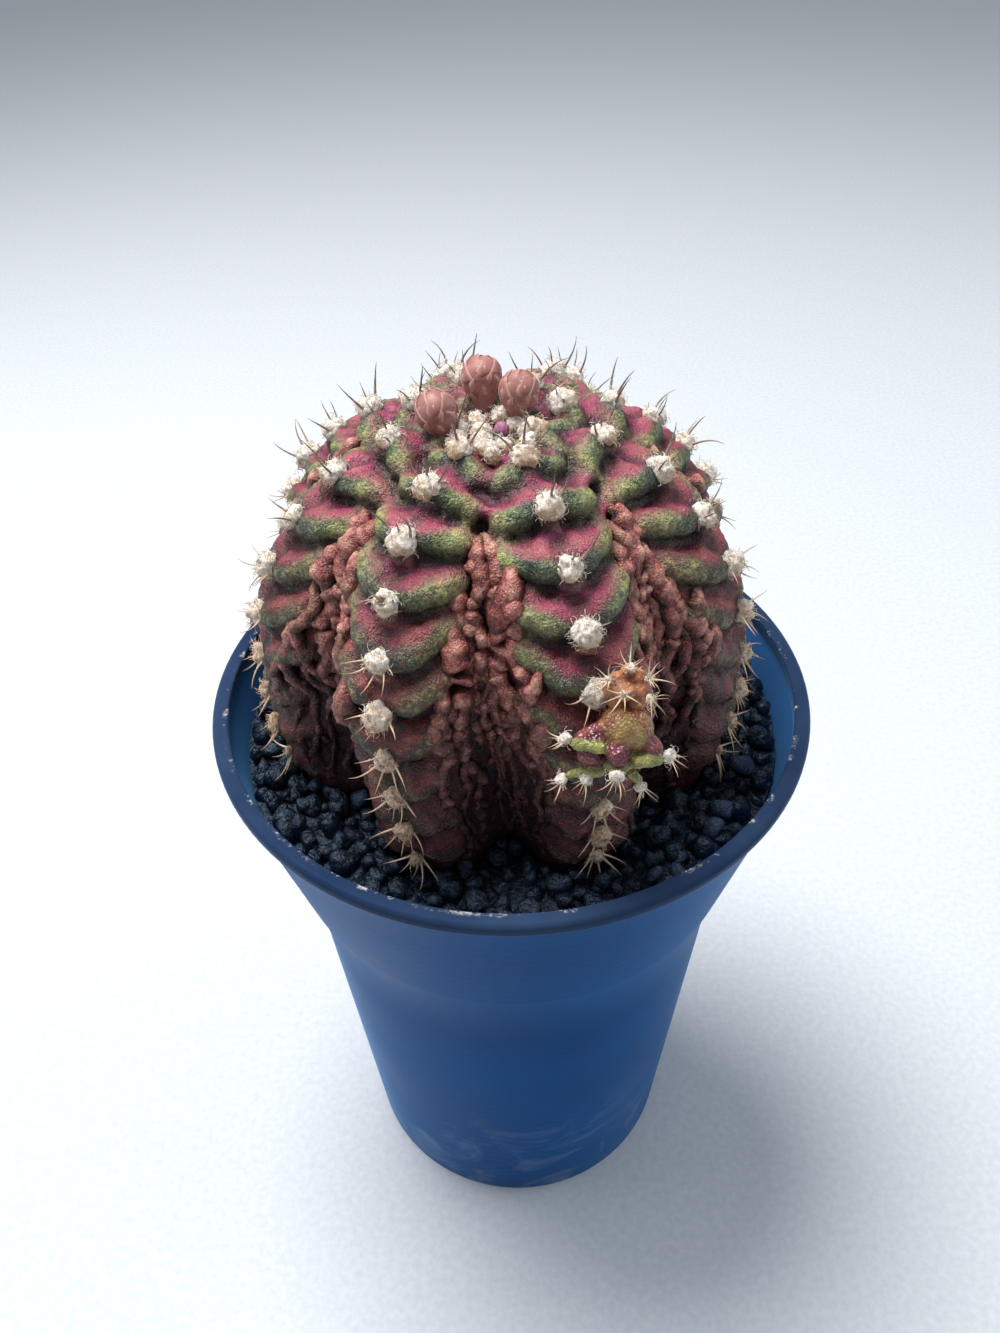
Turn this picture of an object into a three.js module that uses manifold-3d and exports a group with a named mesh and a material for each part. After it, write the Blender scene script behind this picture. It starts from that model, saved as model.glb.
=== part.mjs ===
// A small chin cactus of the knobbly, warty sort, in a blue plastic nursery pot.
// Millimetres, +Z up. The origin is the centre of the pot's foot, on the surface it stands on.
// Azimuths are in degrees, 0 at the front (-Y), growing towards the right (+X).
import * as THREE from 'three';
import { mergeVertices } from 'three/addons/utils/BufferGeometryUtils.js';
import Module from 'manifold-3d';

// Pot
const POT_HEIGHT = 95.4;
const RIM_RADIUS = 39;
const FOOT_RADIUS = 25.7;
const KNEE_HEIGHT = 56;
const KNEE_RADIUS = 29.8;
const FLARE_HEIGHT = 69.8;
const FLARE_RADIUS = 32.4;
const FLARE_SLOPE = 0.24;
const KNEE_EASE = 0.45;
const LIP_DEPTH = 1.9;
const LIP_WIDTH = 2.1;
const LIP_ROUNDING = 0.4;
const POT_KNEES = [KNEE_HEIGHT, 63.5, FLARE_HEIGHT];
const WALL = 1;
const BASE_RECESS = 1.8;
const BASE_THICKNESS = 1.2;
const FOOT_RING_WIDTH = 2.2;
const FOOT_RING_SLANT = 0.3;
const DRAIN_CENTRE_RADIUS = 4;
const DRAIN_RADIUS = 2.5;
const DRAIN_RING_RADIUS = 14;
const DRAIN_COUNT = 6;
const DRAIN_SIDES = 12;
const POT_SEGMENTS = 40;

// Fill
const CLEARANCE = 0.3;
const MIX_TOP = 80.3;
const GRIT_LEVEL = 88.6;
const GRIT_TOP = 92.6;
const GRIT_STONES = 54;
const STONE_RADIUS = 3;
const STONE_RING_INNER = 22;
const STONE_RING_OUTER = 35;
const GOLDEN_ANGLE = 2.39996;
const GRIT_SEED = 5;
const HOLE_FLARE = 1.1;

// Cactus body
const PLANT_X = -0.8;
const CENTRE_HEIGHT = 107;
const BODY_RADIUS = 29.3;
const CROWN_HEIGHT = 28;
const CROWN_EXPONENT = 2.15;
const DIMPLE_DEPTH = 3.2;
const DIMPLE_WIDTH = 6.5;
const BELLY_DEPTH = 26;
const BELLY_EXPONENT = 4;
const FURROW_DEPTH = 6.2;
const SOIL_ANGLE = 121;
const BODY_FOOT = 80.6;
// Below the grit the section draws in: heights, and the share of the section left.
const BURIED_SECTIONS = [[84, 0.98], [BODY_FOOT + 0.8, 0.93], [BODY_FOOT, 0.84]];
// The taproot: heights above its tip, and radii.
const ROOT_TIP = 66;
const ROOT_OUTLINE = [[1, 1.6], [9, 3.2], [15.6, 4]];
const ROOT_SIDES = 12;

// Each rib runs from the crown to the grit: its azimuth beside the crown, how far it swings round
// from one areole to the next, the polar angle of its youngest areole, and how much closer its
// old areoles crowd together than its young ones.
const RIBS = [
  { azimuth: -160, swing: -0.5, first: 22, crowding: 0.10 },
  { azimuth: -115, swing: 0.3, first: 20, crowding: 0.19 },
  { azimuth: -76.5, swing: 0.6, first: 10, crowding: 0.24 },
  { azimuth: -33, swing: 1.3, first: 15.3, crowding: 0.15 },
  { azimuth: 18.5, swing: 0.25, first: 17.5, crowding: 0.30 },
  { azimuth: 73, swing: -0.6, first: 9, crowding: 0.27 },
  { azimuth: 112, swing: 0, first: 16, crowding: 0.17 },
  { azimuth: 153, swing: -0.3, first: 18, crowding: 0.10 },
];
const AREOLES_TO_SOIL = 9.5;
const AREOLES = 10;
const ROWS_PER_AREOLE = 4;
const SEAT_ROW = 1;
const COLUMNS_PER_RIB = 10;
// The eight grid points round an areole, as steps down and across, in turning order.
const PATCH_RING = [[-1, -1], [0, -1], [1, -1], [1, 0], [1, 1], [0, 1], [-1, 1], [-1, 0]];

const GROOVE_SHARE = 0.85;

// A rib in section, from its crest (0) to the middle of the furrow (1): the share of the furrow's
// depth, how far each line droops towards the next areole, in areole steps, and its share of the lean.
const SECTION = [
  { share: 0, depth: 0, droop: -0.2, lean: 0 },
  { share: 0.22, depth: 0.05, droop: -0.06, lean: 0.08 },
  { share: 0.48, depth: 0.3, droop: 0, lean: 0.48 },
  { share: 0.7, depth: 0.7, droop: 0, lean: 0.8 },
  { share: GROOVE_SHARE, depth: 0.95, droop: 0, lean: 0.95 },
  { share: 1, depth: 1, droop: 0, lean: 1 },
];
// A roll's inner end, in areole steps below its areole: beside the crown it droops into the furrow,
// from the belly down it climbs, and at the grit it lies level.
const YOUNG_LEAN = 0.6;
const OLD_LEAN = -1.35;
const LEAN_TURNS = [-1.2, 5];
const LEAN_LEVELS = [5.5, AREOLES_TO_SOIL];
// Relief of the four rows of one areole step: roll, crease, slope and upper slope on the flank;
// roll, areole seat, chin and crease on the crest; beads in the furrow.
const FLANK_RELIEF = [1.15, -0.95, -0.45, 0.3];
const CREST_RELIEF = [0.7, 0.1, 0.35, -0.85];
const BEAD_RELIEF = [0.5, -0.3, 0.4, -0.35];
const STRAND_RELIEF = 0.4;
// Where the relief comes in and fades: in polar degrees, areole steps and shares of the section.
const FURROW_OPENS = [5, 75];
const WARTS_BEGIN = [25, 50];
const ROLLS_SWELL = [-0.5, 1.5];
const YOUNG_ROLL = 0.45;
const RELIEF_SINKS = [8.2, 9.2];
const STRANDS_BEGIN = [0.5, 0.8];
const FURROW_SHARED = [0.55, 1];
const CROWN_RING = 0.45;
const CROWN_CREASE = 0.25;

// Areoles, spines, buds and pups
const PAD_RADIUS = 1.65;
const PAD_HEIGHT = 1.6;
const OLD_PAD = 0.85;
const LAST_PAD = 0.65;
// A pad's wall: how high its foot may ride on the relief, and its shoulder's height and radius.
const PAD_FOOT = 0.35;
const PAD_SHOULDER = 0.72;
const PAD_SHOULDER_RADIUS = 0.85;
// A pad that stands by itself: radii and heights as shares of its own, from a root sunk well in.
const LOOSE_PAD = [[1, 0.15], [0.68, 0.85], [0, 1]];
const LOOSE_PAD_ROOT = 0.9;
const LOOSE_PAD_SIDES = 5;
const CROWN_WOOL = [[-60, 5], [40, 4.5], [170, 5.5]];
const CROWN_WOOL_SIZE = 0.75;
const SPINE_RADIUS = 0.3;
const SPINE_LENGTH = 4.2;
const SPINE_SIDES = 3;
const SPINE_SEED = 11;
const LOWEST_SPINE_TIP = 95;
const SPINE_TO_WALL = 0.6;
// Young areoles hold three spines that rise, old ones two that spread and droop: shares of the
// side and down directions against the outward one.
const SPINES_AGE = [2, 4];
const YOUNG_SPINE = { hands: [-1, 0, 1], spread: 0.4, drop: -0.5 };
const OLD_SPINE = { hands: [-1, 1], spread: 0.85, drop: 0.75 };
const MIDDLE_SPINE_DROP = 0.25;
const BUDS = [
  { name: 'flower_bud_1', foot: [-6.0, -1.9, 132.4], head: [-7.3, -1.5, 136.1], radius: 2.35 },
  { name: 'flower_bud_2', foot: [-2.2, 4.4, 131.4], head: [-2.4, 6.2, 136.0], radius: 2.4 },
  { name: 'flower_bud_3', foot: [1.3, 2.3, 131.0], head: [1.7, 2.6, 136.1], radius: 2.3 },
];
const BUD_ROOM = 0.9;
const BUD_SIDES = 10;
const BUD_SUNK = 1.4;
const BUD_SCALE_DIP = 0.93;
// A bud's head from its neck up, in head radii: heights and radii.
const BUD_HEAD = [[0, 0.72], [0.55, 0.98], [0.95, 1], [1.5, 0.82], [1.85, 0.42]];
const BUD_TIP = 1.95;
const STALK_RADIUS = 0.43;

const PUP_ROOM = 1.2;
const PUP_TIP_ROOM = 2.4;
const GREEN_PUP = {
  centre: [10.6, -29.6, 115.0],
  radii: [3.5, 3.0, 3.1],
  tips: [[5.7, -30.6, 114.4], [15.4, -31.2, 113.8], [10.3, -33.0, 112.4], [7.4, -32.0, 111.6],
    [12.8, -32.4, 111.4]],
  tubercle: 1.35,
  wool: 0.5,
  spine: 2.6,
  spread: [-0.8, 0, 0.8],
};
const DRIED_PUP = {
  centre: [11.7, -27.2, 119.0],
  radii: [2.3, 1.9, 1.8],
  tips: [[9.7, -28.0, 120.6], [11.8, -26.6, 121.4], [13.7, -27.6, 120.5], [11.0, -29.2, 120.0],
    [13.6, -28.9, 118.7]],
  tubercle: 1,
  wool: 0.38,
  spine: 2.4,
  spread: [-0.7, 0.7],
};

const wasm = await Module();
wasm.setup();

// Joining and cutting work on closed solids made from position-only meshes.
function solidFrom(geometry) {
  const bare = geometry.clone();
  bare.deleteAttribute('normal');
  bare.deleteAttribute('uv');
  const merged = mergeVertices(bare, 1e-4);
  const vertProperties = new Float32Array(merged.attributes.position.array);
  const triVerts = new Uint32Array(merged.index.array);
  return new wasm.Manifold(new wasm.Mesh({ numProp: 3, vertProperties, triVerts }));
}

function geometryFrom(solid) {
  const mesh = solid.getMesh();
  const geometry = new THREE.BufferGeometry();
  geometry.setAttribute('position', new THREE.BufferAttribute(mesh.vertProperties, 3));
  geometry.setIndex(new THREE.BufferAttribute(mesh.triVerts, 1));
  geometry.computeVertexNormals();
  return geometry;
}

function joined(solids) {
  return wasm.Manifold.union(solids);
}

// Only the largest body stays where a cut leaves loose crumbs.
function mainBody(solid) {
  const bodies = solid.decompose();
  bodies.sort((a, b) => b.volume() - a.volume());
  return bodies[0];
}

function randomFrom(seed) {
  let state = seed;
  return () => {
    state = (state + 0x6d2b79f5) | 0;
    let mixed = Math.imul(state ^ (state >>> 15), 1 | state);
    mixed = (mixed + Math.imul(mixed ^ (mixed >>> 7), 61 | mixed)) ^ mixed;
    return ((mixed ^ (mixed >>> 14)) >>> 0) / 4294967296;
  };
}

function smoothstep(from, to, value) {
  const t = THREE.MathUtils.clamp((value - from) / (to - from), 0, 1);
  return t * t * (3 - 2 * t);
}

// A turned body about +Z from [radius, height] points.
function turned(points, segments) {
  const geometry = new THREE.LatheGeometry(points.map(([r, z]) => new THREE.Vector2(r, z)), segments);
  geometry.rotateX(Math.PI / 2);
  return geometry;
}

// The outer radius of the pot's wall at a height.
function potRadius(z) {
  const lipBottom = POT_HEIGHT - LIP_DEPTH;
  const underLip = FLARE_RADIUS + (lipBottom - FLARE_HEIGHT) * FLARE_SLOPE;
  if (z < KNEE_HEIGHT) {
    return THREE.MathUtils.mapLinear(z, 0, KNEE_HEIGHT, FOOT_RADIUS, KNEE_RADIUS);
  }
  if (z < FLARE_HEIGHT) {
    const t = (z - KNEE_HEIGHT) / (FLARE_HEIGHT - KNEE_HEIGHT);
    return KNEE_RADIUS + (FLARE_RADIUS - KNEE_RADIUS) * (KNEE_EASE * t + (1 - KNEE_EASE) * t * t);
  }
  return THREE.MathUtils.mapLinear(z, FLARE_HEIGHT, lipBottom, FLARE_RADIUS, underLip);
}

function wallHeights(from, to, knees) {
  const inner = knees.filter((z) => z > from && z < to);
  return [from, ...inner, to];
}

function makePot() {
  const floorTop = BASE_RECESS + BASE_THICKNESS;
  const lipBottom = POT_HEIGHT - LIP_DEPTH;
  const ringInner = FOOT_RADIUS - FOOT_RING_WIDTH;
  const outer = wallHeights(0, lipBottom, POT_KNEES).map((z) => [potRadius(z), z]);
  const inner = wallHeights(floorTop, lipBottom, POT_KNEES).map((z) => [potRadius(z) - WALL, z]);
  const lip = [
    [RIM_RADIUS, lipBottom + LIP_ROUNDING / 2],
    [RIM_RADIUS, POT_HEIGHT - LIP_ROUNDING],
    [RIM_RADIUS - LIP_ROUNDING, POT_HEIGHT],
    [RIM_RADIUS - LIP_WIDTH, POT_HEIGHT],
  ];
  const foot = [[0, BASE_RECESS], [ringInner - FOOT_RING_SLANT, BASE_RECESS], [ringInner, 0]];
  const points = [...foot, ...outer, ...lip, ...inner.reverse(), [0, floorTop]];
  const wall = solidFrom(turned(points, POT_SEGMENTS));
  const drains = [drainHole(DRAIN_CENTRE_RADIUS, 0, 0)];
  for (let i = 0; i < DRAIN_COUNT; i += 1) {
    const turn = (i / DRAIN_COUNT) * 2 * Math.PI;
    const x = DRAIN_RING_RADIUS * Math.cos(turn);
    const y = DRAIN_RING_RADIUS * Math.sin(turn);
    drains.push(drainHole(DRAIN_RADIUS, x, y));
  }
  return geometryFrom(wall.subtract(joined(drains)));
}

function drainHole(radius, x, y) {
  const through = 4 * (BASE_RECESS + BASE_THICKNESS);
  const hole = new THREE.CylinderGeometry(radius, radius, through, DRAIN_SIDES);
  hole.rotateX(Math.PI / 2);
  hole.translate(x, y, BASE_RECESS);
  return solidFrom(hole);
}

// A point round the plant's axis.
function polar(azimuth, radius, z) {
  const turn = THREE.MathUtils.degToRad(azimuth);
  return new THREE.Vector3(PLANT_X + radius * Math.sin(turn), -radius * Math.cos(turn), z);
}

// The line of the rib crests in the meridian plane, by polar angle in degrees from straight up.
function crestLine(angle) {
  const turn = THREE.MathUtils.degToRad(angle);
  const across = Math.sin(turn);
  const up = Math.cos(turn);
  const above = up >= 0;
  const exponent = above ? CROWN_EXPONENT : BELLY_EXPONENT;
  const semiAxis = above ? CROWN_HEIGHT : BELLY_DEPTH;
  const sum = Math.abs(across / BODY_RADIUS) ** exponent + Math.abs(up / semiAxis) ** exponent;
  const reach = 1 / sum ** (1 / exponent);
  return { radius: reach * across, z: CENTRE_HEIGHT + reach * up };
}

function crownDimple(radius) {
  return DIMPLE_DEPTH * Math.exp(-((radius / DIMPLE_WIDTH) ** 2));
}

function areoleAngle(rib, step) {
  const x = step / AREOLES_TO_SOIL;
  return rib.first + (SOIL_ANGLE - rib.first) * x * (1 + rib.crowding * (1 - x));
}

function ribAzimuth(rib, step) {
  return rib.azimuth + rib.swing * THREE.MathUtils.clamp(step, 0, AREOLES_TO_SOIL);
}

// One meridian column of the body: its rib, the rib across the furrow, and its place in section.
function bodyColumns() {
  const columns = [];
  RIBS.forEach((rib, index) => {
    const next = { ...RIBS[(index + 1) % RIBS.length] };
    const home = { ...rib };
    if (next.azimuth < home.azimuth) {
      next.azimuth += 360;
    }
    SECTION.forEach((place) => columns.push({ rib: home, beyond: next, place }));
    SECTION.slice(1, -1).reverse().forEach((place) => {
      columns.push({ rib: next, beyond: home, place });
    });
  });
  return columns;
}

function columnAzimuth(column, step) {
  const own = ribAzimuth(column.rib, step);
  const other = ribAzimuth(column.beyond, step);
  return THREE.MathUtils.lerp(own, (own + other) / 2, column.place.share);
}

function columnAngle(column, step) {
  const own = areoleAngle(column.rib, step);
  const other = areoleAngle(column.beyond, step);
  const blend = smoothstep(...FURROW_SHARED, column.place.share) / 2;
  return THREE.MathUtils.lerp(own, other, blend);
}

// How far a line of the section lies below its areole, in areole steps.
function lineDroop(place, base) {
  const crest = place.droop * (1 - smoothstep(AREOLES_TO_SOIL - 1.5, AREOLES_TO_SOIL, base));
  const lean = THREE.MathUtils.lerp(YOUNG_LEAN, OLD_LEAN, smoothstep(...LEAN_TURNS, base));
  return crest + place.lean * lean * (1 - smoothstep(...LEAN_LEVELS, base));
}

function furrowDepth(angle) {
  return FURROW_DEPTH * smoothstep(...FURROW_OPENS, angle);
}

function relief(place, row, angle, step) {
  const line = ((row % ROWS_PER_AREOLE) + ROWS_PER_AREOLE) % ROWS_PER_AREOLE;
  const crest = place.share === 0 ? 1 : 0;
  const furrow = smoothstep(...STRANDS_BEGIN, place.share);
  const flank = (1 - crest) * (1 - furrow);
  const strand = place.share === GROOVE_SHARE ? -STRAND_RELIEF : STRAND_RELIEF;
  const warts = (strand + BEAD_RELIEF[line]) * smoothstep(...WARTS_BEGIN, angle);
  const rolls = CREST_RELIEF[line] * crest + FLANK_RELIEF[line] * flank;
  const youth = THREE.MathUtils.lerp(YOUNG_ROLL, 1, smoothstep(...ROLLS_SWELL, step));
  const buried = 1 - smoothstep(...RELIEF_SINKS, step);
  return (rolls * youth + warts * furrow) * buried;
}

function surfacePoint(azimuth, angle, lift) {
  const line = crestLine(angle);
  const outward = THREE.MathUtils.degToRad(Math.min(angle, 90));
  const radius = line.radius + lift * Math.sin(outward);
  const z = line.z - crownDimple(line.radius) + lift * Math.cos(outward);
  return polar(azimuth, radius, z);
}

function bodyRing(columns, row, clearance) {
  return columns.map((column) => {
    const base = row / ROWS_PER_AREOLE;
    const step = base + lineDroop(column.place, base);
    const angle = columnAngle(column, step);
    const depth = furrowDepth(angle) * column.place.depth;
    const lift = relief(column.place, row, angle, step) - depth + clearance;
    return surfacePoint(columnAzimuth(column, step), angle, lift);
  });
}

// Below the grit the ribbed section runs straight down and draws in to the foot.
function buriedRing(columns, z, scale, clearance) {
  const line = crestLine(SOIL_ANGLE);
  return columns.map((column) => {
    const depth = FURROW_DEPTH * column.place.depth;
    const radius = (line.radius - depth) * scale + clearance;
    return polar(columnAzimuth(column, AREOLES_TO_SOIL), radius, z);
  });
}

// Rings of points, top to bottom, closed by a point at each end. A raised patch is a point of the
// grid whose four quads are drawn out into a dome with a wall round it.
function ringedGeometry(top, rings, bottom, patches = []) {
  const count = rings[0].length;
  const points = [top, ...rings.flat(), bottom];
  const index = [];
  const last = points.length - 1;
  const at = (ring, i) => 1 + ring * count + ((i + count) % count);
  const drawnOut = new Set();
  patches.forEach((patch) => {
    const around = PATCH_RING.map(([down, across]) => at(patch.ring + down, patch.column + across));
    const rim = around.map((id, i) => {
      points[id] = patch.base[i];
      return points.push(patch.rim[i]) - 1;
    });
    const peak = at(patch.ring, patch.column);
    points[peak] = patch.peak;
    around.forEach((id, i) => {
      const next = (i + 1) % around.length;
      index.push(id, around[next], rim[next]);
      index.push(id, rim[next], rim[i]);
      index.push(peak, rim[i], rim[next]);
    });
    [[-1, -1], [-1, 0], [0, -1], [0, 0]].forEach(([down, across]) => {
      drawnOut.add(at(patch.ring + down, patch.column + across));
    });
  });
  for (let i = 0; i < count; i += 1) {
    index.push(0, at(0, i), at(0, i + 1));
    for (let ring = 0; ring + 1 < rings.length; ring += 1) {
      if (!drawnOut.has(at(ring, i))) {
        index.push(at(ring, i), at(ring + 1, i), at(ring + 1, i + 1));
        index.push(at(ring, i), at(ring + 1, i + 1), at(ring, i + 1));
      }
    }
    index.push(last, at(rings.length - 1, i + 1), at(rings.length - 1, i));
  }
  const geometry = new THREE.BufferGeometry();
  const positions = points.flatMap((p) => [p.x, p.y, p.z]);
  geometry.setAttribute('position', new THREE.Float32BufferAttribute(positions, 3));
  geometry.setIndex(index);
  return geometry;
}

function crownRing(columns, clearance) {
  return columns.map((column) => {
    const angle = columnAngle(column, column.place.droop) * CROWN_RING;
    const lift = clearance - CROWN_CREASE * column.place.depth;
    return surfacePoint(columnAzimuth(column, 0), angle, lift);
  });
}

// The wool pad of an areole: the patch of crest round it, drawn out into a low dome.
function woolPatch(areole, rings, clearance) {
  const radius = PAD_RADIUS * padSize(areole) + clearance;
  const height = PAD_HEIGHT * padSize(areole) + clearance;
  const ring = 1 + areole.step * ROWS_PER_AREOLE + SEAT_ROW;
  const column = areole.rib * COLUMNS_PER_RIB;
  const count = rings[0].length;
  const { seat, down, side, outward } = areole;
  const place = (along, across, out) => seat.clone()
    .addScaledVector(down, along)
    .addScaledVector(side, across)
    .addScaledVector(outward, out);
  const base = [];
  const rim = [];
  PATCH_RING.forEach(([stepDown, stepAcross]) => {
    const long = Math.hypot(stepDown, stepAcross);
    const along = (stepDown / long) * radius;
    const across = (stepAcross / long) * radius;
    const from = rings[ring + stepDown][(column + stepAcross + count) % count];
    const proud = Math.min(from.clone().sub(seat).dot(outward), height * PAD_FOOT);
    base.push(place(along, across, proud));
    rim.push(place(along * PAD_SHOULDER_RADIUS, across * PAD_SHOULDER_RADIUS, height * PAD_SHOULDER));
  });
  return { ring, column, base, rim, peak: place(0, 0, height) };
}

function makeBody(clearance) {
  const columns = bodyColumns();
  const rings = [crownRing(columns, clearance)];
  const rows = AREOLES_TO_SOIL * ROWS_PER_AREOLE;
  for (let row = 0; row <= rows; row += 1) {
    rings.push(bodyRing(columns, row, clearance));
  }
  BURIED_SECTIONS.forEach(([z, scale]) => rings.push(buriedRing(columns, z, scale, clearance)));
  const top = surfacePoint(0, 0, clearance);
  const bottom = new THREE.Vector3(PLANT_X, 0, BODY_FOOT - clearance);
  const patches = visibleAreoles().map((areole) => woolPatch(areole, rings, clearance));
  return solidFrom(ringedGeometry(top, rings, bottom, patches));
}

function makeRoot(clearance) {
  const side = ROOT_OUTLINE.map(([rise, radius]) => [radius + clearance, ROOT_TIP + rise]);
  const top = side[side.length - 1][1];
  const root = turned([[0, ROOT_TIP - clearance], ...side, [0, top]], ROOT_SIDES);
  root.translate(PLANT_X, 0, 0);
  return solidFrom(root);
}

// Where each areole sits: on the crest, facing out.
function areoleSeats() {
  const seats = [];
  RIBS.forEach((rib, index) => {
    for (let step = 0; step < AREOLES; step += 1) {
      const angle = areoleAngle(rib, step);
      const azimuth = ribAzimuth(rib, step);
      const seat = surfacePoint(azimuth, angle, 0);
      const ahead = surfacePoint(azimuth, angle + 1, 0);
      const behind = surfacePoint(azimuth, angle - 1, 0);
      const down = ahead.sub(behind).normalize();
      const side = polar(azimuth + 90, 1, 0).sub(polar(0, 0, 0)).normalize();
      const outward = new THREE.Vector3().crossVectors(down, side).normalize();
      seats.push({ rib: index, step, seat, down, side, outward });
    }
  });
  return seats;
}

// A shape made along +Y from its foot at the origin, set to stand at a place along a direction.
function stood(geometry, place, direction) {
  const turn = new THREE.Quaternion().setFromUnitVectors(new THREE.Vector3(0, 1, 0), direction);
  geometry.applyQuaternion(turn);
  geometry.translate(place.x, place.y, place.z);
  return solidFrom(geometry);
}

function makePad(place, outward, size, clearance) {
  const radius = PAD_RADIUS * size + clearance;
  const height = PAD_HEIGHT * size + clearance;
  const outline = LOOSE_PAD.map(([wide, high]) => new THREE.Vector2(wide * radius, high * height));
  outline.unshift(new THREE.Vector2(0, -LOOSE_PAD_ROOT));
  const dome = new THREE.LatheGeometry(outline, LOOSE_PAD_SIDES);
  return stood(dome, place, outward);
}

function makeSpine(place, direction, length) {
  const spine = new THREE.ConeGeometry(SPINE_RADIUS, length, SPINE_SIDES);
  spine.translate(0, length / 2, 0);
  return stood(spine, place, direction);
}

function spineDirections(areole) {
  const age = smoothstep(...SPINES_AGE, areole.step);
  const spread = THREE.MathUtils.lerp(YOUNG_SPINE.spread, OLD_SPINE.spread, age);
  const drop = THREE.MathUtils.lerp(YOUNG_SPINE.drop, OLD_SPINE.drop, age);
  const { hands } = age < 1 ? YOUNG_SPINE : OLD_SPINE;
  return hands.map((hand) => areole.outward.clone()
    .addScaledVector(areole.side, spread * hand)
    .addScaledVector(areole.down, hand === 0 ? drop + MIDDLE_SPINE_DROP : drop)
    .normalize());
}

// Places that the spines and wool of the cactus keep clear of.
function ball(centre, radius) {
  return { centre: new THREE.Vector3(...centre), radius };
}

function keepOuts() {
  const list = [];
  BUDS.forEach((bud) => {
    list.push(ball(bud.head, bud.radius + BUD_ROOM));
    list.push(ball(bud.foot, bud.radius));
  });
  [GREEN_PUP, DRIED_PUP].forEach((pup) => {
    list.push(ball(pup.centre, pup.radii[0] + PUP_ROOM));
    pup.tips.forEach((tip) => list.push(ball(tip, PUP_TIP_ROOM)));
  });
  return list;
}

function isClear(from, to, list, margin) {
  const line = new THREE.Line3(from, to);
  const nearest = new THREE.Vector3();
  return list.every((ball) => {
    line.closestPointToPoint(ball.centre, true, nearest);
    return nearest.distanceTo(ball.centre) > ball.radius + margin;
  });
}

function padSize(areole) {
  if (areole.step === AREOLES - 1) {
    return LAST_PAD;
  }
  return areole.step > AREOLES / 2 ? OLD_PAD : 1;
}

function visibleAreoles() {
  const hidden = keepOuts();
  return areoleSeats().filter((areole) => isClear(areole.seat, areole.seat, hidden, CLEARANCE));
}

function makeSpines() {
  const hidden = keepOuts();
  const random = randomFrom(SPINE_SEED);
  const wallInside = potRadius(POT_HEIGHT - LIP_DEPTH) - WALL;
  const spines = [];
  visibleAreoles().forEach((areole) => {
    spineDirections(areole).forEach((direction) => {
      const length = SPINE_LENGTH * THREE.MathUtils.lerp(0.8, 1.15, random());
      const foot = areole.seat.clone();
      const tip = foot.clone().addScaledVector(direction, length);
      const inside = Math.hypot(tip.x, tip.y) < wallInside - SPINE_TO_WALL;
      if (tip.z > LOWEST_SPINE_TIP && inside && isClear(foot, tip, hidden, CLEARANCE)) {
        spines.push(makeSpine(foot, direction, length));
      }
    });
  });
  return spines;
}

function makeCrownWool(clearance) {
  const up = new THREE.Vector3(0, 0, 1);
  return CROWN_WOOL.map(([azimuth, angle]) => {
    return makePad(surfacePoint(azimuth, angle, -0.3), up, CROWN_WOOL_SIZE, clearance);
  });
}

function makeCactus() {
  const pieces = [makeBody(0), makeRoot(0), ...makeCrownWool(0), ...makeSpines()];
  return geometryFrom(mainBody(joined(pieces)));
}

// What other pieces are cut back by, so that they sit a hair off the cactus.
function cactusSocket() {
  return joined([makeBody(CLEARANCE), makeRoot(CLEARANCE), ...makeCrownWool(CLEARANCE)]);
}

// Flower buds: an egg of overlapping scales on a short stalk.
function makeBud(bud, socket) {
  const foot = new THREE.Vector3(...bud.foot);
  const head = new THREE.Vector3(...bud.head);
  const axis = head.clone().sub(foot).normalize();
  const neck = head.distanceTo(foot) - bud.radius * 0.85;
  const outline = [
    [-BUD_SUNK, bud.radius * STALK_RADIUS],
    [neck * 0.6, bud.radius * STALK_RADIUS],
    ...BUD_HEAD.map(([rise, width]) => [neck + rise * bud.radius, width * bud.radius]),
  ];
  const rings = outline.reverse().map(([y, radius], row) => {
    const ring = [];
    for (let i = 0; i < BUD_SIDES; i += 1) {
      const turn = (i / BUD_SIDES) * 2 * Math.PI;
      const reach = radius * ((i + row) % 2 === 0 ? 1 : BUD_SCALE_DIP);
      ring.push(new THREE.Vector3(reach * Math.sin(turn), y, reach * Math.cos(turn)));
    }
    return ring;
  });
  const top = new THREE.Vector3(0, neck + bud.radius * BUD_TIP, 0);
  const bottom = new THREE.Vector3(0, -BUD_SUNK, 0);
  const body = stood(ringedGeometry(top, rings, bottom), foot, axis);
  return geometryFrom(mainBody(body.subtract(socket)));
}

// Pups: a small body with tubercles, each ending in wool and spines.
function pupCore(pup, clearance) {
  const core = new THREE.SphereGeometry(1, 10, 6);
  core.scale(...pup.radii.map((radius) => radius + clearance));
  core.translate(...pup.centre);
  return solidFrom(core);
}

function makeTubercle(centre, tip, thickness) {
  const from = new THREE.Vector3(...centre);
  const to = new THREE.Vector3(...tip);
  const direction = to.clone().sub(from).normalize();
  const length = to.distanceTo(from);
  const finger = new THREE.SphereGeometry(1, 6, 4);
  finger.scale(thickness, length * 0.55, thickness);
  finger.translate(0, length * 0.52, 0);
  return stood(finger, from, direction);
}

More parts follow.
